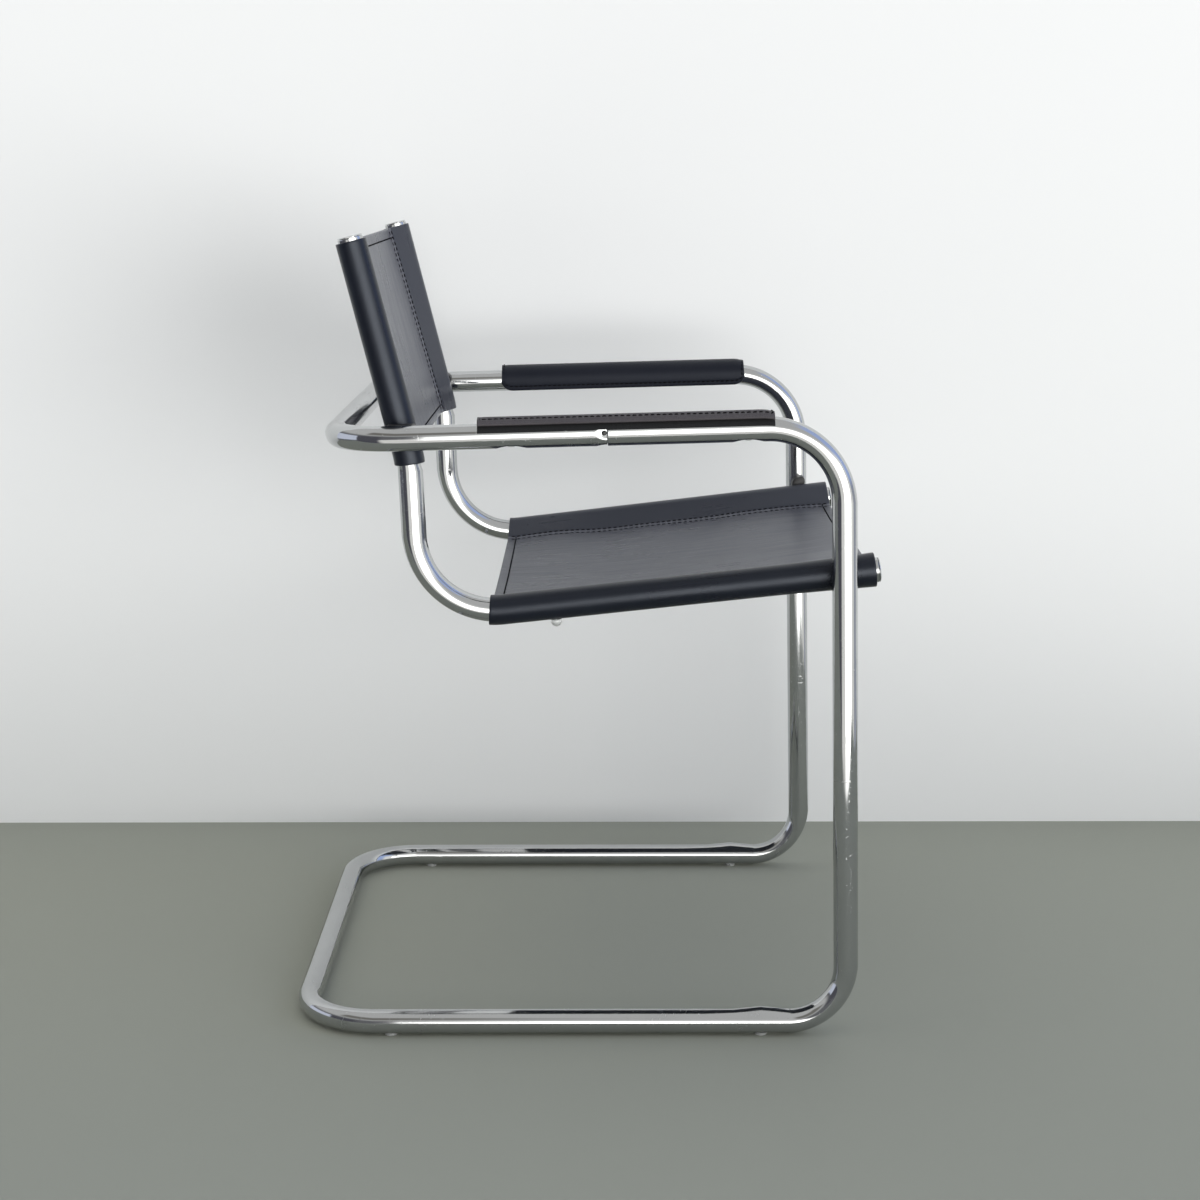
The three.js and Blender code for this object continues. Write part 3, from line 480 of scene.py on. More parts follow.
base_dimples, loop_dimples = [], []
base_holes, loop_holes = [], []
for _, sign in SIDES:
    x = sign * FRAME_HALF_WIDTH
    outward = Vector((sign, 0, 0))
    for end, along in PAD_SCREW_PLACES.items():
        centre = arm_point(x, along)
        dimples, holes = (base_dimples, base_holes) if end == "front" else (loop_dimples, loop_holes)
        dimples.append((centre, arm_along, arm_down, *PAD_DIMPLE))
        holes.append((centre - arm_down * DRILL_REACH, centre + arm_down * DRILL_REACH, PAD_HOLE_RADIUS))
    for direction in joint_ways(sign).values():
        loop_dimples.append((arm_point(x, 0), arm_along, direction, *SEAM_DIMPLE))
        screw_axis = arm_point(x, JOINT_SCREW_SETBACK)
        loop_holes.append((screw_axis, screw_axis + direction * DRILL_REACH, JOINT_HOLE_RADIUS))
    for fixing, holes in ((FRONT_FIXING, base_holes), (REAR_FIXING, loop_holes)):
        fixing_axis = side_point(x, fixing)
        holes.append((fixing_axis, fixing_axis - outward * DRILL_REACH, INSERT_HOLE_RADIUS))

front_dimple_place = abs(PAD_SCREW_PLACES["front"])
rear_dimple_place = PAD_SCREW_PLACES["rear"] - ARM_SEAM_GAP
half_dimple = PAD_DIMPLE[0] / 2 + 0.002


def near_both_ends(path, low, high):
    """The same stretch measured from either end of a path."""
    return [(low, high), (path.length - high, path.length - low)]


base_dense = near_both_ends(base_path, front_dimple_place - half_dimple, front_dimple_place + half_dimple)
loop_dense = near_both_ends(loop_path, rear_dimple_place - half_dimple, rear_dimple_place + half_dimple)
loop_dense += near_both_ends(loop_path, 0, SEAM_DIMPLE[0] / 2 + 0.001)
BEND_STEP = math.radians(2.5)
base_tube = bent_tube(
    "floor_and_upright_tube", base_path, base_path.places(0.03, BEND_STEP, base_dense), dimples=base_dimples
)
arm_loop_tube = bent_tube(
    "arm_loop_bent_tube", loop_path, loop_path.places(0.03, BEND_STEP, loop_dense), dimples=loop_dimples
)
drill(base_tube, base_holes)
drill(arm_loop_tube, loop_holes)


def new_group(name, inputs, outputs):
    """A node group whose inputs and outputs are numbers. It gives back the tree and both sets of sockets."""
    group = bpy.data.node_groups.new(name, "ShaderNodeTree")
    for label, value in inputs.items():
        socket = group.interface.new_socket(label, in_out="INPUT", socket_type="NodeSocketFloat")
        socket.default_value = value
    for label in outputs:
        group.interface.new_socket(label, in_out="OUTPUT", socket_type="NodeSocketFloat")
    entry = group.nodes.new("NodeGroupInput")
    exit_node = group.nodes.new("NodeGroupOutput")
    return group, entry.outputs, exit_node.inputs


def place_group(tree, group, inputs):
    return add_node(tree, "ShaderNodeGroup", inputs, node_tree=group).outputs


def scaled_position(tree, scale, stretch=(1, 1, 1), turn=(0, 0, 0)):
    """Object coordinates, turned, stretched and then scaled by a value or a linked socket."""
    place = add_node(tree, "ShaderNodeTexCoord").outputs["Object"]
    mapping = add_node(tree, "ShaderNodeMapping", {"Vector": place, "Rotation": turn, "Scale": stretch})
    inputs = {0: mapping.outputs[0], "Scale": scale}
    return add_node(tree, "ShaderNodeVectorMath", inputs, operation="SCALE").outputs[0]


def noise(tree, scale, detail, stretch=(1, 1, 1), turn=(0, 0, 0), grain_scale=1.0):
    """Soft noise on the object, 0 to 1, finer as the scale rises."""
    vector = scaled_position(tree, scale, stretch, turn)
    inputs = {"Vector": vector, "Scale": grain_scale, "Detail": detail}
    return add_node(tree, "ShaderNodeTexNoise", inputs).outputs["Fac"]


def product(tree, a, b):
    return math_node(tree, "MULTIPLY", a, b)


def total(tree, a, b):
    return math_node(tree, "ADD", a, b)


# Fine scratches: thin streaks in three directions, from stretched noise cut at a narrow level.
scratches, given, made = new_group("fine_scratches", {"Density": 1.0, "Strength": 1.0}, ["Mask"])
marks = None
directions = ((0.3, 0.2, 0.5), (1, 9, 9)), ((0.9, 1.4, 0.1), (9, 1, 9)), ((1.7, 0.4, 2.2), (9, 9, 1))
for turn, stretch in directions:
    line = banded(scratches, noise(scratches, given["Density"], 3.0, stretch, turn, 40.0), 0.665, 0.70)
    marks = line if marks is None else total(scratches, marks, line)
scratches.links.new(product(scratches, marks, given["Strength"]), made["Mask"])

# Handling marks: broad cloudy patches where plating is a little duller.
smudges, given, made = new_group(
    "handling_marks", {"Scale": 14.0, "Clean": 0.06, "Dull": 0.16}, ["Roughness", "Mask"]
)
patch = banded(smudges, noise(smudges, given["Scale"], 5.0), 0.42, 0.72)
duller = add_node(smudges, "ShaderNodeMix", {0: patch, 2: given["Clean"], 3: given["Dull"]})
smudges.links.new(duller.outputs[0], made["Roughness"])
smudges.links.new(patch, made["Mask"])


def bump(tree, height, distance, strength=1.0):
    """A fine relief of a surface, from heights of 0 to 1 and the distance that 1 stands for."""
    inputs = {"Height": height, "Distance": distance, "Strength": strength}
    return add_node(tree, "ShaderNodeBump", inputs).outputs[0]


def darker(colour, share):
    """A colour at a share of its brightness."""
    return tuple(share * channel for channel in colour[:3]) + (1,)


def chrome_finish(name, colour, density, scratch_strength, clean, dull):
    """Polished plating with fine scratches and duller handling marks."""
    material, tree = new_material(name)
    mark = place_group(tree, scratches, {"Density": density, "Strength": scratch_strength})
    cloud = place_group(tree, smudges, {"Clean": clean, "Dull": dull})
    rough = total(tree, cloud["Roughness"], product(tree, mark["Mask"], 0.22))
    relief = bump(tree, mark["Mask"], 0.00002, 0.35)
    tint = colour_mix(tree, cloud["Mask"], colour, darker(colour, 0.93))
    set_surface(tree, {"Base Color": tint, "Metallic": 1.0, "Roughness": rough, "Normal": relief})
    return material


def dress(piece, material, slot, *replaced):
    """Gives a piece its finish and its place in the frame."""
    coat(piece, material)
    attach(piece, "root")
    if replaced:
        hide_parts(*replaced)


frame_chrome = chrome_finish(
    "worn_frame_chrome",
    colour=(0.51, 0.52, 0.525, 1),
    density=1.0,
    scratch_strength=0.8,
    clean=0.055,
    dull=0.13,
)
dress(base_tube, frame_chrome, "chrome", "base_tube")
dress(arm_loop_tube, frame_chrome, "chrome", "arm_loop_tube")

# Inner tubes
# A bent tube on each side carries the leather: the seat line, a tight bend, a short post and the back line.
# It is the same chromed tube as the outer loop. Chrome plugs close its two ends.
SEAT_HALF_WIDTH = 0.240
SEAT_TUBE_LENGTH = 0.4635
BACK_TUBE_LENGTH = 0.2245
INNER_BENDS = [0.079, 0.100]
BOLT_HOLE_RADIUS = 0.0034
BUMPER_PLACE = 0.1377
BUMPER_HOLE_RADIUS = 0.0024


def inner_path(x):
    """The axis of an inner tube, from the seat's front end to the back's top end."""
    front = SEAT_CORNER + SEAT_FORWARD * SEAT_TUBE_LENGTH
    top = BACK_CORNER + BACK_UPWARD * BACK_TUBE_LENGTH
    return TubePath([side_point(x, yz) for yz in (front, SEAT_CORNER, BACK_CORNER, top)], INNER_BENDS)


for side_name, sign in SIDES:
    x = sign * SEAT_HALF_WIDTH
    path = inner_path(x)
    tube = bent_tube(f"seat_and_back_tube_{side_name}", path, path.places(0.03, BEND_STEP))
    inward = Vector((-sign, 0, 0))
    holes = []
    for fixing in (FRONT_FIXING, REAR_FIXING):
        centre = side_point(x, fixing)
        holes.append((centre + inward * DRILL_REACH, centre - inward * DRILL_REACH, BOLT_HOLE_RADIUS))
    bumper_axis = side_point(x, SEAT_CORNER + SEAT_FORWARD * BUMPER_PLACE)
    bumper_down = side_point(0, Vector((-math.sin(SEAT_SLOPE), -math.cos(SEAT_SLOPE))))
    holes.append((bumper_axis, bumper_axis + bumper_down * DRILL_REACH, BUMPER_HOLE_RADIUS))
    drill(tube, holes)
    dress(tube, frame_chrome, "chrome", f"seat_tube_{side_name}")

PLUG_PROFILE = (
    (0.0000, 0.00215),
    (0.0060, 0.00213),
    (0.0100, 0.00200),
    (0.0113, 0.00184),
    (0.0121, 0.00150),
    (0.0125, 0.00100),
    (0.0124, 0.00055),
    (0.0118, 0.00038),
    (0.0103, 0.00034),
    (0.0101, 0.00020),
    (0.0101, -0.0110),
    (0.0093, -0.0120),
    (0.0000, -0.0120),
)


def turned(name, profile, sides, place):
    """A turned piece about its place's +Z, from (radius, height) pairs that start and end on the axis."""
    angles = np.arange(sides) * (2 * math.pi / sides)
    work = bmesh.new()
    rings = []
    for radius, height in profile:
        if radius == 0:
            rings.append([work.verts.new((0, 0, height))])
        else:
            ring = [(radius * math.cos(a), radius * math.sin(a), height) for a in angles]
            rings.append([work.verts.new(point) for point in ring])
    for lower, upper in zip(rings, rings[1:]):
        for k in range(sides):
            after = (k + 1) % sides
            corners = [lower[k % len(lower)], lower[after % len(lower)], upper[after % len(upper)]]
            if len(upper) > 1:
                corners.append(upper[k])
            if len(lower) == 1:
                corners.pop(1)
            work.faces.new(corners)
    work.transform(place)
    mesh = closed(work, bpy.data.meshes.new(name))
    face_outward(mesh, math.radians(50))
    return new_object(name, mesh)


def pointing(place, direction):
    """A frame at a place whose +Z points in a direction."""
    return Matrix.Translation(place) @ direction.to_track_quat("Z", "Y").to_matrix().to_4x4()


plug_chrome = chrome_finish(
    "bright_plug_chrome",
    colour=(0.68, 0.69, 0.70, 1),
    density=2.0,
    scratch_strength=0.5,
    clean=0.04,
    dull=0.09,
)
for side_name, sign in SIDES:
    x = sign * SEAT_HALF_WIDTH
    ends = {
        "seat": (SEAT_CORNER + SEAT_FORWARD * SEAT_TUBE_LENGTH, SEAT_FORWARD),
        "back": (BACK_CORNER + BACK_UPWARD * BACK_TUBE_LENGTH, BACK_UPWARD),
    }
    for end, (yz, way) in ends.items():
        place = pointing(side_point(x, yz), side_point(0, way))
        plug = turned(f"{end}_end_plug_{side_name}", PLUG_PROFILE, 48, place)
        dress(plug, plug_chrome, "chrome", f"{end}_cap_{side_name}")

# Seat and back leather
# Each is one piece of thick black saddle leather. It is folded round the inner tube on either side, and its
# edge is sewn down under the panel with two rows of stitches. The free edges have one row. It is stretched
# between the tubes and sags a little between its seams.
LEATHER = 0.0025
LEATHER_ROUND = 0.0008
SLEEVE_ROOM = 0.0003
SLEEVE_MIDDLE = TUBE_RADIUS + SLEEVE_ROOM + LEATHER / 2
SEAM_X = SEAT_HALF_WIDTH - 0.0325
FLAP = 0.0125
FACET = 0.0095
FACET_DROP = 0.0020
ROW_PLACES = (0.0010, 0.0097)
ROW_DEPTH = 0.00045
STITCH_PITCH = 0.0064
STITCH_LENGTH = 0.0048
THREAD_RADIUS = 0.00065
SEWN_GAP = 0.0001
PANEL_EASE = 0.0016
SEAM_EASE = 0.0018
UNDER_EASE = 0.004
BARE_END = 0.003
SEAT_HEMS = (0.009, 0.009)
BACK_HEMS = (0.009, 0.0112)


def smooth_curve(knots, values, wanted):
    """A smooth curve through known places, with the slopes that its neighbours give."""
    knots, values = np.array(knots, float), np.array(values, float)
    slopes = np.gradient(values, knots)
    wanted = np.clip(wanted, knots[0], knots[-1])
    k = np.clip(np.searchsorted(knots, wanted) - 1, 0, len(knots) - 2)
    gap = knots[k + 1] - knots[k]
    t = (wanted - knots[k]) / gap
    return (
        (2 * t**3 - 3 * t**2 + 1) * values[k]
        + (t**3 - 2 * t**2 + t) * gap * slopes[k]
        + (3 * t**2 - 2 * t**3) * values[k + 1]
        + (t**3 - t**2) * gap * slopes[k + 1]
    )


def resampled(line, places):
    """Points of a polyline at the given shares of its length, 0 to 1."""
    line = np.array(line)
    steps = np.linalg.norm(np.diff(line, axis=0), axis=1)
    travelled = np.concatenate([[0], np.cumsum(steps)])
    wanted = np.array(places) * travelled[-1]
    return np.stack([np.interp(wanted, travelled, line[:, k]) for k in range(line.shape[1])], 1)


def eased_corner(before, corner, after, reach):
    """Points that turn a corner of the leather in a soft curve."""
    start = corner + (before - corner).normalized() * reach
    end = corner + (after - corner).normalized() * reach
    return [start.lerp(corner, k / 8).lerp(corner.lerp(end, k / 8), k / 8) for k in range(9)]


def stretch_shares():
    """Where the columns of a half of the leather lie on its panel, sleeve and flap, as shares of each."""
    rounded = [1 - LEATHER_ROUND * share / FLAP for share in (1.0, 0.4, 0.1, 0.0)]
    panel = np.concatenate([np.linspace(0, 0.9, 84)[:-1], np.linspace(0.9, 1, 28)])
    return panel, np.linspace(0, 1, 58)[1:], np.concatenate([np.linspace(0, rounded[0], 14)[1:-1], rounded])


def sling_half(seam_drop, middle_drop, slack, lifted):
    """Half of the leather's middle line, from the panel's middle over the tube and back under to the flap's
    edge, as (x, height above the tubes' plane) pairs. The slack makes the sleeve larger than its tube."""
    radius = SLEEVE_MIDDLE + slack / 2
    axis = Vector((SEAT_HALF_WIDTH - slack / 2, lifted * slack / 2))
    seam = Vector((SEAM_X, -seam_drop))
    facet = seam - Vector((FACET, FACET_DROP))
    doubled = Vector((0, LEATHER + SEWN_GAP))
    under = seam - doubled
    panel = []
    for share in np.linspace(0, 0.985, 40):
        drop = middle_drop - (facet.y + middle_drop) * share**1.5
        panel.append(Vector((share * facet.x, -drop)))
    panel += eased_corner(panel[-1], facet, seam, PANEL_EASE)

    def tangent_angle(point, turn):
        away = point - axis
        return math.atan2(away.y, away.x) + turn * math.acos(radius / away.length)

    first = tangent_angle(seam, -1)
    last = tangent_angle(under, 1)
    if last > first:
        last -= 2 * math.pi
    angles = np.linspace(first, last, 40)
    wrap = [axis + Vector((math.cos(a), math.sin(a))) * radius for a in angles]
    flap_end = under - Vector((FLAP, FACET_DROP + (middle_drop - seam_drop) * 0.06))
    upper = eased_corner(panel[-1], seam, wrap[0], SEAM_EASE)
    lower = eased_corner(wrap[-1], under, facet - doubled, UNDER_EASE)
    flap = lower[4:] + eased_corner(under, facet - doubled, flap_end, PANEL_EASE) + [flap_end]
    stretches = (panel + upper[:5], upper[4:] + wrap + lower[:5], flap)
    return np.concatenate([resampled(line, shares) for line, shares in zip(stretches, stretch_shares())])


def slab_normals(grid):
    """The way out of the leather at each point of a grid."""
    along = np.gradient(grid, axis=0)
    across = np.gradient(grid, axis=1)
    normal = np.cross(across, along)
    return normal / np.linalg.norm(normal, axis=2, keepdims=True)


def side_distances(grid):
    """For each point of a grid, how far it is from each of the four borders along the leather."""
    down, right = np.zeros(grid.shape[:2]), np.zeros(grid.shape[:2])
    down[1:] = np.cumsum(np.linalg.norm(np.diff(grid, axis=0), axis=2), 0)
    right[:, 1:] = np.cumsum(np.linalg.norm(np.diff(grid, axis=1), axis=2), 1)
    return [down, down[-1:] - down, right, right[:, -1:] - right]


def leather_slab(name, grid, thickness, rounding, relief=0):
    """A closed slab of leather round a grid of its middle points, with its cut edges rounded."""
    normal = slab_normals(grid)
    lost = np.vectorize(rounded_loss)(np.minimum.reduce(side_distances(grid)), rounding)
    half = thickness / 2 - lost
    outer = grid + normal * (half + relief)[..., None]
    inner = grid - normal * half[..., None]
    ring = np.concatenate([outer, inner[:, ::-1]], 1)
    mesh = grid_mesh(name, ring, False, True)
    work = opened(mesh)
    work.verts.ensure_lookup_table()
    rows, columns = grid.shape[:2]
    for row in (0, rows - 1):
        first = row * columns * 2
        for k in range(columns - 1):
            a, b = first + k, first + k + 1
            c, d = first + 2 * columns - 2 - k, first + 2 * columns - 1 - k
            work.faces.new([work.verts[index] for index in (a, b, c, d)])
    closed(work, mesh)
    face_outward(mesh, math.radians(60))
    return new_object(name, mesh), outer, normal


def edge_shares(count, length, rounding):
    """Shares along a length with extra ones where its cut ends are rounded."""
    ends = [rounding * share / length for share in (0.0, 0.1, 0.4)]
    inside = np.linspace(rounding / length, 1 - rounding / length, count)
    return np.concatenate([ends, inside, [1 - share for share in ends[::-1]]])


def stitches(name, lines, pitch=STITCH_PITCH, length=STITCH_LENGTH):
    """A row of thread stitches on each line, given by its points on the leather and the way out of it."""
    # Place along the stitch, width and lift of each ring of its first half
    half_stitch = ((-1, 0.3, -1), (-0.82, 0.85, 0.15), (-0.4, 1, 0.6))
    rings = half_stitch + tuple((-along, wide, lift) for along, wide, lift in half_stitch[::-1])
    sides = 6
    points, faces = [], []
    for line, outs in lines:
        line, outs = np.array(line), np.array(outs)
        span = np.linalg.norm(np.diff(line, axis=0), axis=1).sum()
        count = int(span // pitch)
        centres = (np.arange(count) + 0.5) / count
        half = length / 2 / span
        middle = resampled(line, centres)
        behind, ahead = (resampled(line, np.clip(centres + step, 0, 1)) for step in (-half, half))
        ups = resampled(outs, centres)
        for centre, way, up in zip(middle, ahead - behind, ups):
            way = way / np.linalg.norm(way)
            up = up / np.linalg.norm(up)
            side = np.cross(up, way)
            way = way + side * 0.10
            first = len(points)
            for along, wide, lift in rings:
                for k in range(sides):
                    turn = 2 * math.pi * k / sides
                    across = side * (math.cos(turn) * wide * THREAD_RADIUS * 1.25)
                    rise = up * ((math.sin(turn) * wide + lift) * THREAD_RADIUS)
                    points.append(centre + way * (along * length / 2) + across + rise)
            for ring in range(len(rings) - 1):
                for k in range(sides):
                    a, b = first + ring * sides + k, first + ring * sides + (k + 1) % sides
                    faces.append((a, b, b + sides, a + sides))
            faces.append(tuple(first + k for k in reversed(range(sides))))
            faces.append(tuple(first + (len(rings) - 1) * sides + k for k in range(sides)))
    mesh = bpy.data.meshes.new(name)
    mesh.from_pydata(points, [], faces)
    mesh.polygons.foreach_set("use_smooth", [True] * len(mesh.polygons))
    return new_object(name, mesh)


def groove(distance, depth, width=0.0013):
    """How far a row of stitches pulls the leather in, at a distance from the row."""
    return -depth * np.exp(-((distance / width) ** 2))


def sling(name, node, start, end, hems, seam_drop, middle_drop, slack, ripple):
    """A seat or back leather from one place on the inner tubes' path to another, with its stitching."""
    count = int((end - start) / (STITCH_PITCH / 3))
    places = start + (end - start) * edge_shares(count, end - start, LEATHER_ROUND)
    rows = []
    for place in places:
        share = (place - start) / (end - start)
        drops = seam_drop(share), middle_drop(share)
        right, left = (sling_half(*drops, *slack(side, share)) for side, _ in SIDES)
        line = np.concatenate([right[:0:-1] * (-1, 1), left])
        point, along, _, _ = middle_path.at(place)
        across = Vector((1, 0, 0))
        facing = across.cross(along)
        rows.append(np.array(point) + np.outer(line[:, 0], across) + np.outer(line[:, 1], facing))
    grid = np.array(rows)
    travelled = (places - start)[:, None]
    x = grid[..., 0]
    from_middle = np.abs(np.arange(grid.shape[1]) - grid.shape[1] // 2)
    panel_columns, sleeve_columns, _ = (len(shares) for shares in stretch_shares())
    on_panel = np.broadcast_to(from_middle < panel_columns, x.shape)
    on_flap = np.broadcast_to(from_middle >= panel_columns + sleeve_columns - 1, x.shape)
    relief = np.zeros(x.shape)
    for row in ROW_PLACES:
        relief += np.where(on_panel | on_flap, groove(np.abs(x) - (SEAM_X - row), ROW_DEPTH), 0)
    for hem in (travelled - hems[0], (end - start - hems[1]) - travelled):
        relief += np.where(on_panel, groove(hem, ROW_DEPTH), 0)
    grid = grid + slab_normals(grid) * np.where(on_panel, ripple(x, travelled), 0)[..., None]
    slab, outer, normal = leather_slab(name, grid, LEATHER, LEATHER_ROUND, relief)
    lines = []
    inside = slice(4, -4)
    middle_row = len(x) // 2
    for row in ROW_PLACES:
        for sign in (-1, 1):
            for part in (on_panel, on_flap):
                distance = np.where(part[middle_row], np.abs(x[middle_row] - sign * (SEAM_X - row)), 1)
                column = int(np.argmin(distance))
                lines.append((outer[inside, column], normal[inside, column]))
    for hem in (hems[0], end - start - hems[1]):
        row = int(np.argmin(np.abs(travelled[:, 0] - hem)))
        chosen = np.flatnonzero(on_panel[row] & (np.abs(x[row]) < SEAM_X - ROW_PLACES[0]))
        lines.append((outer[row, chosen], normal[row, chosen]))
        lines.append(((grid - normal * LEATHER / 2)[row, chosen], -normal[row, chosen]))
    stitching = stitches(f"{name}_stitching", lines)
    dress(slab, sling_leather, "black_leather", node)
    dress(stitching, thread_material, "black_leather")


# Leather grain: small rounded cells with creases between them, broken up by a second, larger layer.
grain, given, made = new_group("leather_grain", {"Cell Size": 900.0, "Crease": 0.5}, ["Height", "Painted Pore Shade"])
inputs = {"Vector": scaled_position(grain, given["Cell Size"]), "Scale": 1.0, "Randomness": 0.9}
cells = add_node(grain, "ShaderNodeTexVoronoi", inputs, feature="DISTANCE_TO_EDGE").outputs["Distance"]
pebbles = banded(grain, cells, 0.0, 0.28)
creased = product(grain, banded(grain, noise(grain, 160.0, 4.0), 0.35, 0.65), given["Crease"])
grain.links.new(total(grain, pebbles, creased), made["Height"])
# This output is 1 in the creases between the cells, where the colour is painted darker as painted shade.
grain.links.new(banded(grain, cells, 0.0, 0.1, 1.0, 0.0), made["Painted Pore Shade"])

# Wear: a soft cloud that lightens and smooths leather where it is sat on and handled.
wear, given, made = new_group(
    "leather_wear", {"Scale": 9.0, "Base": 0.38, "Change": 0.1}, ["Roughness", "Mask"]
)
patch = banded(wear, noise(wear, given["Scale"], 6.0), 0.3, 0.7)
wear.links.new(total(wear, given["Base"], product(wear, patch, given["Change"])), made["Roughness"])
wear.links.new(patch, made["Mask"])

# Streaks: long faint marks that run with the leather's length, from front to rear and up the back.
streaks, given, made = new_group("leather_streaks", {"Strength": 0.06}, ["Roughness"])
marks = banded(streaks, noise(streaks, 1.0, 4.0, (190, 11, 11)), 0.35, 0.68)
streaks.links.new(product(streaks, marks, given["Strength"]), made["Roughness"])

# Painted sheen: the panels between the seams are painted a lighter grey in place of the sheen that they
# reflect, and a share of it goes on the left sleeves, which stand loose.
LEFT_SLEEVE_SHEEN_SHARE = 0.4
painted_sheen, given, made = new_group("leather_greying", {"Edge": 0.25}, ["Mask"])
sideways = add_node(painted_sheen, "ShaderNodeSeparateXYZ", {"Vector": scaled_position(painted_sheen, 1.0)}).outputs["X"]
beyond = math_node(painted_sheen, "SUBTRACT", math_node(painted_sheen, "ABSOLUTE", sideways), given["Edge"])
left_side = banded(painted_sheen, sideways, 0.0, 0.1, 0.0, LEFT_SLEEVE_SHEEN_SHARE)
mask = math_node(painted_sheen, "MAXIMUM", banded(painted_sheen, beyond, -0.001, 0.001, 1.0, 0.0), left_side)
painted_sheen.links.new(mask, made["Mask"])


def leather_finish(name, dark, worn, rough, change, relief, streak, gloss, cell_size=900.0, painted_sheen_grey=None):
    """Grained leather between two tones, with worn clouds and long streaks, and a lighter grey painted on as
    sheen where told.
    """
    material, tree = new_material(name)
    pebble = place_group(tree, grain, {"Cell Size": cell_size})
    cloud = place_group(tree, wear, {"Base": rough, "Change": change})
    tone = colour_mix(tree, cloud["Mask"], dark, worn)
    # Painted shade: the creases between the grain's cells take half the dark tone.
    tone = colour_mix(tree, pebble["Painted Pore Shade"], tone, darker(dark, 0.5))
    if painted_sheen_grey:
        # Painted sheen: the panels, and a share of the left sleeves, are painted a lighter grey that stands in
        # for reflected light.
        sheen_share = place_group(tree, painted_sheen, {"Edge": SEAM_X})
        tone = colour_mix(tree, sheen_share["Mask"], tone, painted_sheen_grey)
    fibres = place_group(tree, streaks, {"Strength": streak})
    inputs = {
        "Base Color": tone,
        "Roughness": total(tree, cloud["Roughness"], fibres["Roughness"]),
        "Normal": bump(tree, pebble["Height"], relief),
        "Specular IOR Level": gloss,
        # Painted light: the bluish specular tint gives every leather's reflections a cool cast of the room.
        "Specular Tint": (0.81, 0.88, 1.0, 1),
    }
    set_surface(tree, inputs)
    return material


sling_leather = leather_finish(
    "black_saddle_leather",
    dark=(0.004, 0.005, 0.010, 1),
    worn=(0.007, 0.009, 0.016, 1),
    rough=0.24,
    change=0.07,
    relief=0.00004,
    streak=0.07,
    gloss=0.42,
    # Lighter grey painted on the panels as sheen.
    painted_sheen_grey=(0.064, 0.067, 0.086, 1),
)
thread_material, tree = new_material("waxed_black_thread")
inputs = {"Vector": scaled_position(tree, 1400.0), "Scale": 1.0, "Distortion": 1.0}
twist = add_node(tree, "ShaderNodeTexWave", inputs)
relief = bump(tree, twist.outputs["Fac"], 0.0001)
dull_black = {"Base Color": (0.004, 0.004, 0.005, 1), "Roughness": 0.85, "Specular IOR Level": 0.1}
set_surface(tree, {**dull_black, "Normal": relief})

middle_path = inner_path(0)
SEAT_LEATHER_END = 0.3915
SEAT_END_SAG = 0.0062
SEAT_MIDDLE_SAG = 0.008
seat_seam_places = (0.0085, 0.0385, 0.0865, 0.1595, 0.2205, 0.2805, 0.3305, 0.3845)
seat_seam_drops = (0.0031, 0.0015, 0.0010, 0.0041, 0.0042, 0.0040, 0.0013, 0.0026)


def seat_seam(share):
    """How far below the tubes' plane the seams lie, from the seat's front to its rear."""
    place = BARE_END + (SEAT_LEATHER_END - BARE_END) * share
    return float(smooth_curve(seat_seam_places, seat_seam_drops, place))


def seat_middle(share):
    """How far the seat's middle sags below the tubes' plane."""
    return SEAT_END_SAG + SEAT_MIDDLE_SAG * math.sin(math.pi * share) ** 0.8


def seat_slack(side, share):
    """The left sleeve is loose above its tube, most at the front. The right one bulges at its front end."""
    if side == "left":
        return 0.0043 - 0.0040 * share, 1
    return 0.0042 * max(0, 1 - share / 0.27) ** 1.5, 0


def seat_ripple(x, along):
    return 0.0004 * np.sin(x * 17 + 1.2) * np.sin(along * 21 + 0.4) + 0.00025 * np.sin(x * 41 + along * 33)


sling(
    "stretched_seat_leather",
    "seat_leather",
    BARE_END,
    SEAT_LEATHER_END,
    SEAT_HEMS,
    seat_seam,
    seat_middle,
    seat_slack,
    seat_ripple,
)
BACK_END = middle_path.length - BARE_END
sling(
    "stretched_back_leather",
    "back_leather",
    BACK_END - BACK_TUBE_LENGTH,
    BACK_END,
    BACK_HEMS,
    lambda share: -0.0015 + 0.006 * share,
    lambda share: 0.003 + 0.005 * share + 0.003 * math.sin(math.pi * share),
    lambda side, share: (0.0, 0),
    lambda x, along: 0.0003 * np.sin(x * 15 + 0.7) * np.sin(along * 24 + 1.1),
)

# Arm pads
# A black leather strap wraps the top of each arm, with a thinner lining inside it, sewn together all round.
# Its outer edge stops part way down the tube, and a flap with round corners hangs on the inner side.
PAD_REAR = 0.1262
PAD_FRONTS = {"right": -0.1625, "left": -0.1670}
PAD_OUTER_MIDDLE = 0.0188 - LEATHER / 2
LINING = 0.0019
LINING_ROUND = 0.0006
LINING_MIDDLE = TUBE_RADIUS + SLEEVE_ROOM + LINING / 2
PAD_FLAP_DROP = 0.011
PAD_FLAP_TUCK = 0.0022
PAD_CORNER = 0.0125
PAD_FRONT_DROOP = 0.0020
PAD_FRONT_REACH = 0.014
PAD_EDGE_ANGLE = math.radians(42)
LINING_EDGE_ANGLE = math.radians(21)
PAD_ROW = 0.0048
PAD_OUTER_ROW = 0.0080
PAD_ROW_DEPTH = 0.0003
PAD_CREASE = 0.0034
PAD_CREASE_DEPTH = 0.00022
PAD_PITCH = 0.0058
PAD_STITCH = 0.0042
PAD_CUT_WIDTH = 0.054
LINING_CUT_WIDTH = 0.049


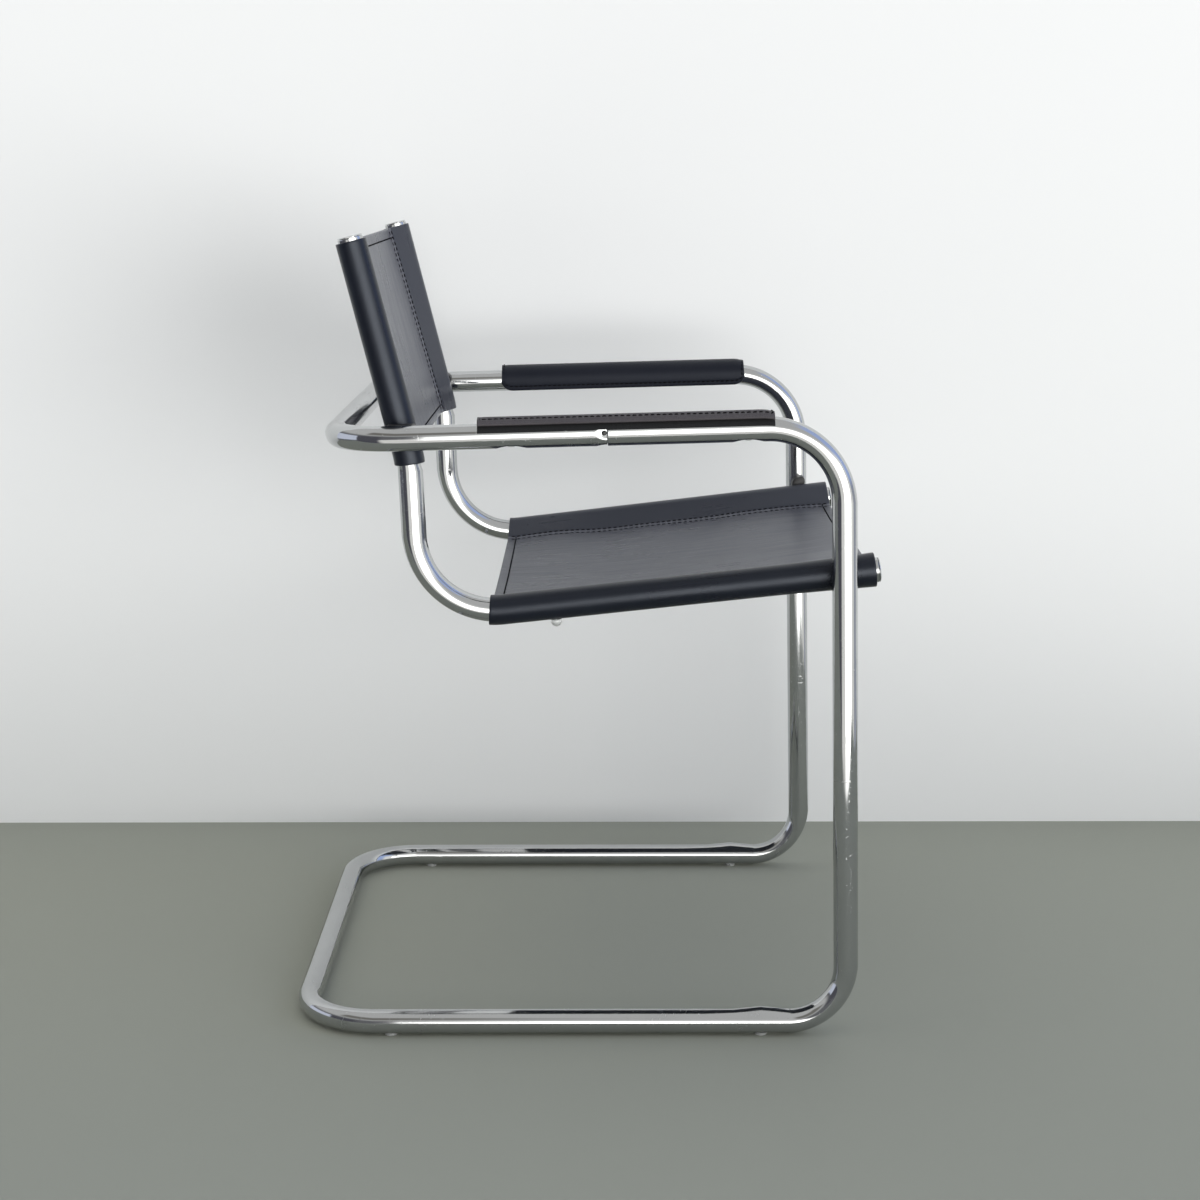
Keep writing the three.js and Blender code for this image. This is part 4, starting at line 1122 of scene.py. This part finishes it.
def pad_grid(side, sign, radius, edge_angle, rounding):
    """The middle points of one layer of a pad, in rows along the arm and columns round it, turned so that
    both pads face outward."""
    length = PAD_REAR - PAD_FRONTS[side]
    shares = edge_shares(160, length, rounding)
    arc = (math.pi - edge_angle) * radius
    profile = edge_shares(60, arc + PAD_FLAP_DROP, rounding)
    rows = []
    for share in shares:
        from_front = (1 - share) * length
        from_end = min(share * length, from_front)
        drop = PAD_FLAP_DROP
        if from_end < PAD_CORNER:
            drop -= PAD_CORNER - math.sqrt(PAD_CORNER**2 - (PAD_CORNER - from_end) ** 2)
        height = radius - PAD_FRONT_DROOP * max(0, 1 - from_front / PAD_FRONT_REACH) ** 2
        angles = np.linspace(edge_angle, math.pi, 40)
        line = [(radius * math.cos(a), height * math.sin(a)) for a in angles]
        if drop > 0:
            line += [(PAD_FLAP_TUCK * (k / 12) ** 2 - radius, -drop * k / 12) for k in range(1, 13)]
        line = resampled(line, profile)
        centre = np.array(arm_point(sign * FRAME_HALF_WIDTH, PAD_REAR - share * length))
        across = np.array((sign, 0, 0))
        upward = -np.array(arm_down)
        rows.append(centre + np.outer(line[:, 0], across) + np.outer(line[:, 1], upward))
    return np.array(rows)[:, ::sign]


pad_finishes = {
    # The right pad is painted a lighter, warmer grey than the left one: painted window light on the same black
    # leather.
    "right": leather_finish(
        "painted_lit_pad_leather",
        dark=(0.060, 0.053, 0.057, 1),
        worn=(0.086, 0.077, 0.082, 1),
        rough=0.50,
        change=0.10,
        relief=0.00009,
        streak=0.04,
        gloss=0.4,
    ),
    "left": leather_finish(
        "black_pad_leather",
        dark=(0.006, 0.007, 0.013, 1),
        worn=(0.010, 0.011, 0.018, 1),
        rough=0.40,
        change=0.08,
        relief=0.00006,
        streak=0.04,
        gloss=0.25,
    ),
}
lining_finish = leather_finish(
    "black_lining_leather",
    dark=(0.010, 0.010, 0.010, 1),
    worn=(0.017, 0.016, 0.015, 1),
    rough=0.78,
    change=0.1,
    relief=0.0002,
    streak=0.0,
    gloss=0.3,
    cell_size=500.0,
)
for side_name, sign in SIDES:
    grid = pad_grid(side_name, sign, PAD_OUTER_MIDDLE, PAD_EDGE_ANGLE, LEATHER_ROUND)
    sides = side_distances(grid)
    from_outer = sides[2 if sign > 0 else 3].copy()
    sides[2 if sign > 0 else 3] -= PAD_OUTER_ROW - PAD_ROW
    border = np.minimum.reduce(sides)
    relief = groove(border - PAD_ROW, PAD_ROW_DEPTH)
    relief += groove(from_outer - PAD_CREASE, PAD_CREASE_DEPTH, 0.0008)
    name = f"arm_pad_outer_leather_{side_name}"
    pad, outer, normal = leather_slab(name, grid, LEATHER, LEATHER_ROUND, relief)
    rows, columns = grid.shape[:2]
    half_way = columns // 2
    row_a = int(np.argmin(np.abs(border[: rows // 2, half_way] - PAD_ROW)))
    low = int(np.argmin(np.abs(border[rows // 2, :half_way] - PAD_ROW)))
    high = half_way + int(np.argmin(np.abs(border[rows // 2, half_way:] - PAD_ROW)))
    loop = (
        [(row_a, j) for j in range(low, high + 1)]
        + [(i, high) for i in range(row_a + 1, rows - row_a)]
        + [(rows - 1 - row_a, j) for j in range(high - 1, low - 1, -1)]
        + [(i, low) for i in range(rows - 2 - row_a, row_a - 1, -1)]
    )
    line, outs = ([values[place] for place in loop] for values in (outer, normal))
    stitching = stitches(f"arm_pad_stitching_{side_name}", [(line, outs)], PAD_PITCH, PAD_STITCH)
    dress(pad, pad_finishes[side_name], "black_leather", f"arm_pad_leather_{side_name}")
    dress(stitching, thread_material, "black_leather")
    grid = pad_grid(side_name, sign, LINING_MIDDLE, LINING_EDGE_ANGLE, LINING_ROUND)
    lining, _, _ = leather_slab(f"arm_pad_inner_lining_{side_name}", grid, LINING, LINING_ROUND)
    dress(lining, lining_finish, "lining_leather", f"arm_pad_lining_{side_name}")
    for layer, cut_width, sewn in ((pad, PAD_CUT_WIDTH, [stitching]), (lining, LINING_CUT_WIDTH, [])):
        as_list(sewn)

# Hidden steel
# The spigots in the arm joints, the bolts and their threaded inserts, and the tapped strips in the arm pads
# are zinc-plated steel. The frame's own solids serve, with a plated finish.
zinc, tree = new_material("zinc_plated_steel")
mark = place_group(tree, scratches, {"Density": 1.5, "Strength": 0.6})
cloud = place_group(tree, smudges, {"Scale": 60.0, "Clean": 0.28, "Dull": 0.42})
tint = colour_mix(tree, cloud["Mask"], (0.62, 0.63, 0.65, 1), (0.52, 0.53, 0.53, 1))
relief = bump(tree, mark["Mask"], 0.00003)
rough = cloud["Roughness"]
set_surface(tree, {"Base Color": tint, "Metallic": 1.0, "Roughness": rough, "Normal": relief})
hidden = ["arm_joint_spigot", "arm_pad_strip"]
hidden += [f"{kind}_{end}" for kind in ("frame_bolt", "thread_insert") for end in ("front", "rear")]
for kind in hidden:
    for side_name, _ in SIDES:
        coat(nodes[f"{kind}_{side_name}"], zinc)

# Screws
# Small blackened pan-head screws with a cross recess hold the arm joints, from the side and from below.
# Larger ones of plated steel hold the pads from below. All sit in the pressed dimples.
def pan_head_screw(name, place, shank, shank_length, head, head_height):
    profile = [
        (0.0, head_height),
        (head * 0.55, head_height * 0.96),
        (head * 0.85, head_height * 0.78),
        (head * 0.98, head_height * 0.42),
        (head, head_height * 0.15),
        (head * 0.96, 0.0),
        (shank, 0.0),
        (shank, -shank_length + shank * 0.4),
        (shank * 0.6, -shank_length),
        (0.0, -shank_length),
    ]
    screw = turned(name, profile, 32, Matrix.Identity(4))
    reach, half = head * 0.58, head * 0.14
    outline = [(reach, -half), (reach, half), (half, half)]
    while len(outline) < 12:
        outline.append((-outline[-3][1], outline[-3][0]))
    points = [(0.6 * x, 0.6 * y, head_height * 0.4) for x, y in outline]
    points += [(x, y, head_height * 1.3) for x, y in outline]
    faces = [(k, (k + 1) % 12, (k + 1) % 12 + 12, k + 12) for k in range(12)]
    driver = bpy.data.meshes.new("driver")
    driver.from_pydata(points, [], faces + [tuple(range(12)), tuple(range(12, 24))])
    face_outward(driver)
    subtract(screw, new_object("driver", driver))
    screw.data.transform(place)
    return screw


blackened_steel, tree = new_material("blackened_steel")
set_surface(tree, {"Base Color": (0.012, 0.012, 0.013, 1), "Roughness": 0.35, "Specular IOR Level": 0.5})
# Radius and length of the shank, radius and height of the head
JOINT_SCREW = (0.0013, 0.006, 0.0025, 0.0012)
PAD_SCREW = (0.002, 0.0252, 0.004, 0.0015)
# Distance of each head's seat from the arm's axis
JOINT_SCREW_SEAT = TUBE_RADIUS - SEAM_DIMPLE[2] - 0.0003
PAD_SCREW_SEAT = TUBE_RADIUS - PAD_DIMPLE[2] + 0.0006
for side_name, sign in SIDES:
    x = sign * FRAME_HALF_WIDTH
    for where, way in joint_ways(sign).items():
        place = pointing(arm_point(x, JOINT_SCREW_SETBACK) + way * JOINT_SCREW_SEAT, way)
        screw = pan_head_screw(f"joint_screw_{where}_{side_name}", place, *JOINT_SCREW)
        dress(screw, blackened_steel, "steel", f"arm_joint_screw_{where}_{side_name}")
    for end, along in PAD_SCREW_PLACES.items():
        place = pointing(arm_point(x, along) + arm_down * PAD_SCREW_SEAT, arm_down)
        screw = pan_head_screw(f"pad_screw_{end}_{side_name}", place, *PAD_SCREW)
        dress(screw, zinc, "steel", f"arm_pad_screw_{end}_{side_name}")

# Saddles
# Moulded black nylon blocks sit between the inner tubes and the outer loop, hollowed on both faces to the
# tubes that they part, and the frame bolts pass through them.
SADDLE_INNER_X = 0.246
SADDLE_OUTER_X = 0.268
SADDLE_ROUND = 0.0008
SADDLE_CORNER = 0.005
SADDLE_FIT = 0.0002


def saddle(name, sign, fixing, outer_path, width, height, inner_radius, top_rise=0.0):
    """A block round a fixing, whose top rises towards the chair's front."""
    half_width, half_height, corner = width / 2, height / 2, SADDLE_CORNER
    outline = []
    for y, z, first in (
        (half_width - corner, corner - half_height, -90),
        (half_width - corner, half_height - corner, 0),
        (corner - half_width, half_height - corner, 90),
        (corner - half_width, corner - half_height, 180),
    ):
        for step in range(7):
            turn = math.radians(first + 15 * step)
            outline.append((y + corner * math.cos(turn), z + corner * math.sin(turn)))
    work = bmesh.new()
    faces = []
    for x, inset in (
        (SADDLE_INNER_X, SADDLE_ROUND),
        (SADDLE_INNER_X + SADDLE_ROUND, 0),
        (SADDLE_OUTER_X - SADDLE_ROUND, 0),
        (SADDLE_OUTER_X, SADDLE_ROUND),
    ):
        ring = []
        for y, z in outline:
            shrink = 1 - inset / half_width
            lift = top_rise * max(z, 0) / half_height * (0.5 - y / width)
            ring.append(work.verts.new((sign * x, fixing[0] + y * shrink, fixing[1] + z * shrink + lift)))
        faces.append(ring)
    for lower, upper in zip(faces, faces[1:]):
        for k in range(len(lower)):
            after = (k + 1) % len(lower)
            work.faces.new((lower[k], lower[after], upper[after], upper[k]))
    work.faces.new(faces[0][::-1])
    work.faces.new(faces[-1])
    mesh = closed(work, bpy.data.meshes.new(name))
    face_outward(mesh)
    block = new_object(name, mesh)
    inner = inner_path(sign * SEAT_HALF_WIDTH)
    for path, radius in ((outer_path, TUBE_RADIUS + SADDLE_FIT), (inner, inner_radius)):
        subtract(block, core(path, radius))
    bolt_ends = (side_point(sign * x, fixing) for x in (SEAT_HALF_WIDTH - 0.01, FRAME_HALF_WIDTH + 0.005))
    drill(block, [(*bolt_ends, BOLT_HOLE_RADIUS)])
    return block


def core(path, radius):
    """The room that a bent tube and its cover take up, as a solid."""
    places = path.places(0.05, math.radians(5), lip=0.0001)
    rings = [point + radial * radius for _, point, radial, _, _ in rings_along(path, places, 48)]
    mesh = grid_mesh("core", np.array(rings), False, True)
    work = opened(mesh)
    bmesh.ops.holes_fill(work, edges=[edge for edge in work.edges if edge.is_boundary], sides=0)
    closed(work, mesh)
    face_outward(mesh)
    return new_object("core", mesh)


nylon, tree = new_material("moulded_black_nylon")
cloud = place_group(tree, wear, {"Scale": 40.0, "Base": 0.42, "Change": 0.12})
relief = bump(tree, noise(tree, 2500.0, 2.0), 0.00006)
rough = cloud["Roughness"]
set_surface(tree, {"Base Color": (0.011, 0.011, 0.012, 1), "Roughness": rough, "Normal": relief})
for side_name, sign in SIDES:
    front = saddle(
        f"front_saddle_{side_name}",
        sign,
        FRONT_FIXING,
        base_path,
        width=0.015,
        height=0.050,
        inner_radius=0.0178,
        top_rise=0.0042,
    )
    dress(front, nylon, "black_plastic", f"saddle_front_{side_name}")
    rear = saddle(
        f"rear_saddle_{side_name}",
        sign,
        REAR_FIXING,
        loop_path,
        width=0.030,
        height=0.024,
        inner_radius=0.0157,
    )
    dress(rear, nylon, "black_plastic", f"saddle_rear_{side_name}")

# Bumpers
# A soft clear plastic button under each seat tube keeps the leather off whatever the chair is stacked on.
# Its stem is pushed through the leather into the tube.
clear_soft, tree = new_material("soft_clear_plastic")
haze = place_group(tree, wear, {"Scale": 120.0, "Base": 0.22, "Change": 0.18})
see_through = {"Base Color": (0.80, 0.82, 0.82, 1), "IOR": 1.45, "Transmission Weight": 0.6}
set_surface(tree, {**see_through, "Roughness": haze["Roughness"]})
BUTTON_START = TUBE_RADIUS + SLEEVE_ROOM + LEATHER + 0.0002
BUTTON_RISE = 0.0076
BUTTON_RADIUS = 0.0060
BUTTON_RIM = 0.0014
button_profile = [(0.0, 0.0085), (0.002, 0.0085), (0.002, BUTTON_START), (0.0056, BUTTON_START)]
for step in range(9):
    turn = math.radians(90 * step / 8)
    rise = BUTTON_START + BUTTON_RIM + (BUTTON_RISE - BUTTON_RIM) * math.sin(turn)
    button_profile.append((BUTTON_RADIUS * math.cos(turn) if step < 8 else 0.0, rise))
for side_name, sign in SIDES:
    axis = side_point(sign * SEAT_HALF_WIDTH, SEAT_CORNER + SEAT_FORWARD * BUMPER_PLACE)
    place = pointing(axis, bumper_down)
    button = turned(f"clear_bumper_{side_name}", button_profile, 32, place)
    dress(button, clear_soft, "clear_plastic", f"seat_bumper_{side_name}")

# Floor glides
# Low clear plastic pads plug into the underside of the floor bars and keep the chrome just off the floor.
GLIDE_PLACES = {"front": -0.185, "rear": 0.195}
glide_profile = [
    (0.0, 0.0090),
    (0.0025, 0.0088),
    (0.0025, 0.0016),
    (0.0042, 0.0021),
    (0.0061, 0.0029),
    (0.0065, 0.0025),
    (0.0064, 0.0008),
    (0.0060, 0.0002),
    (0.0054, 0.0),
    (0.0, 0.0),
]
for side_name, sign in SIDES:
    for end, y in GLIDE_PLACES.items():
        place = Matrix.Translation((sign * FRAME_HALF_WIDTH, y, 0))
        glide = turned(f"{end}_glide_{side_name}", glide_profile, 32, place)
        dress(glide, clear_soft, "clear_plastic", f"floor_glide_{end}_{side_name}")
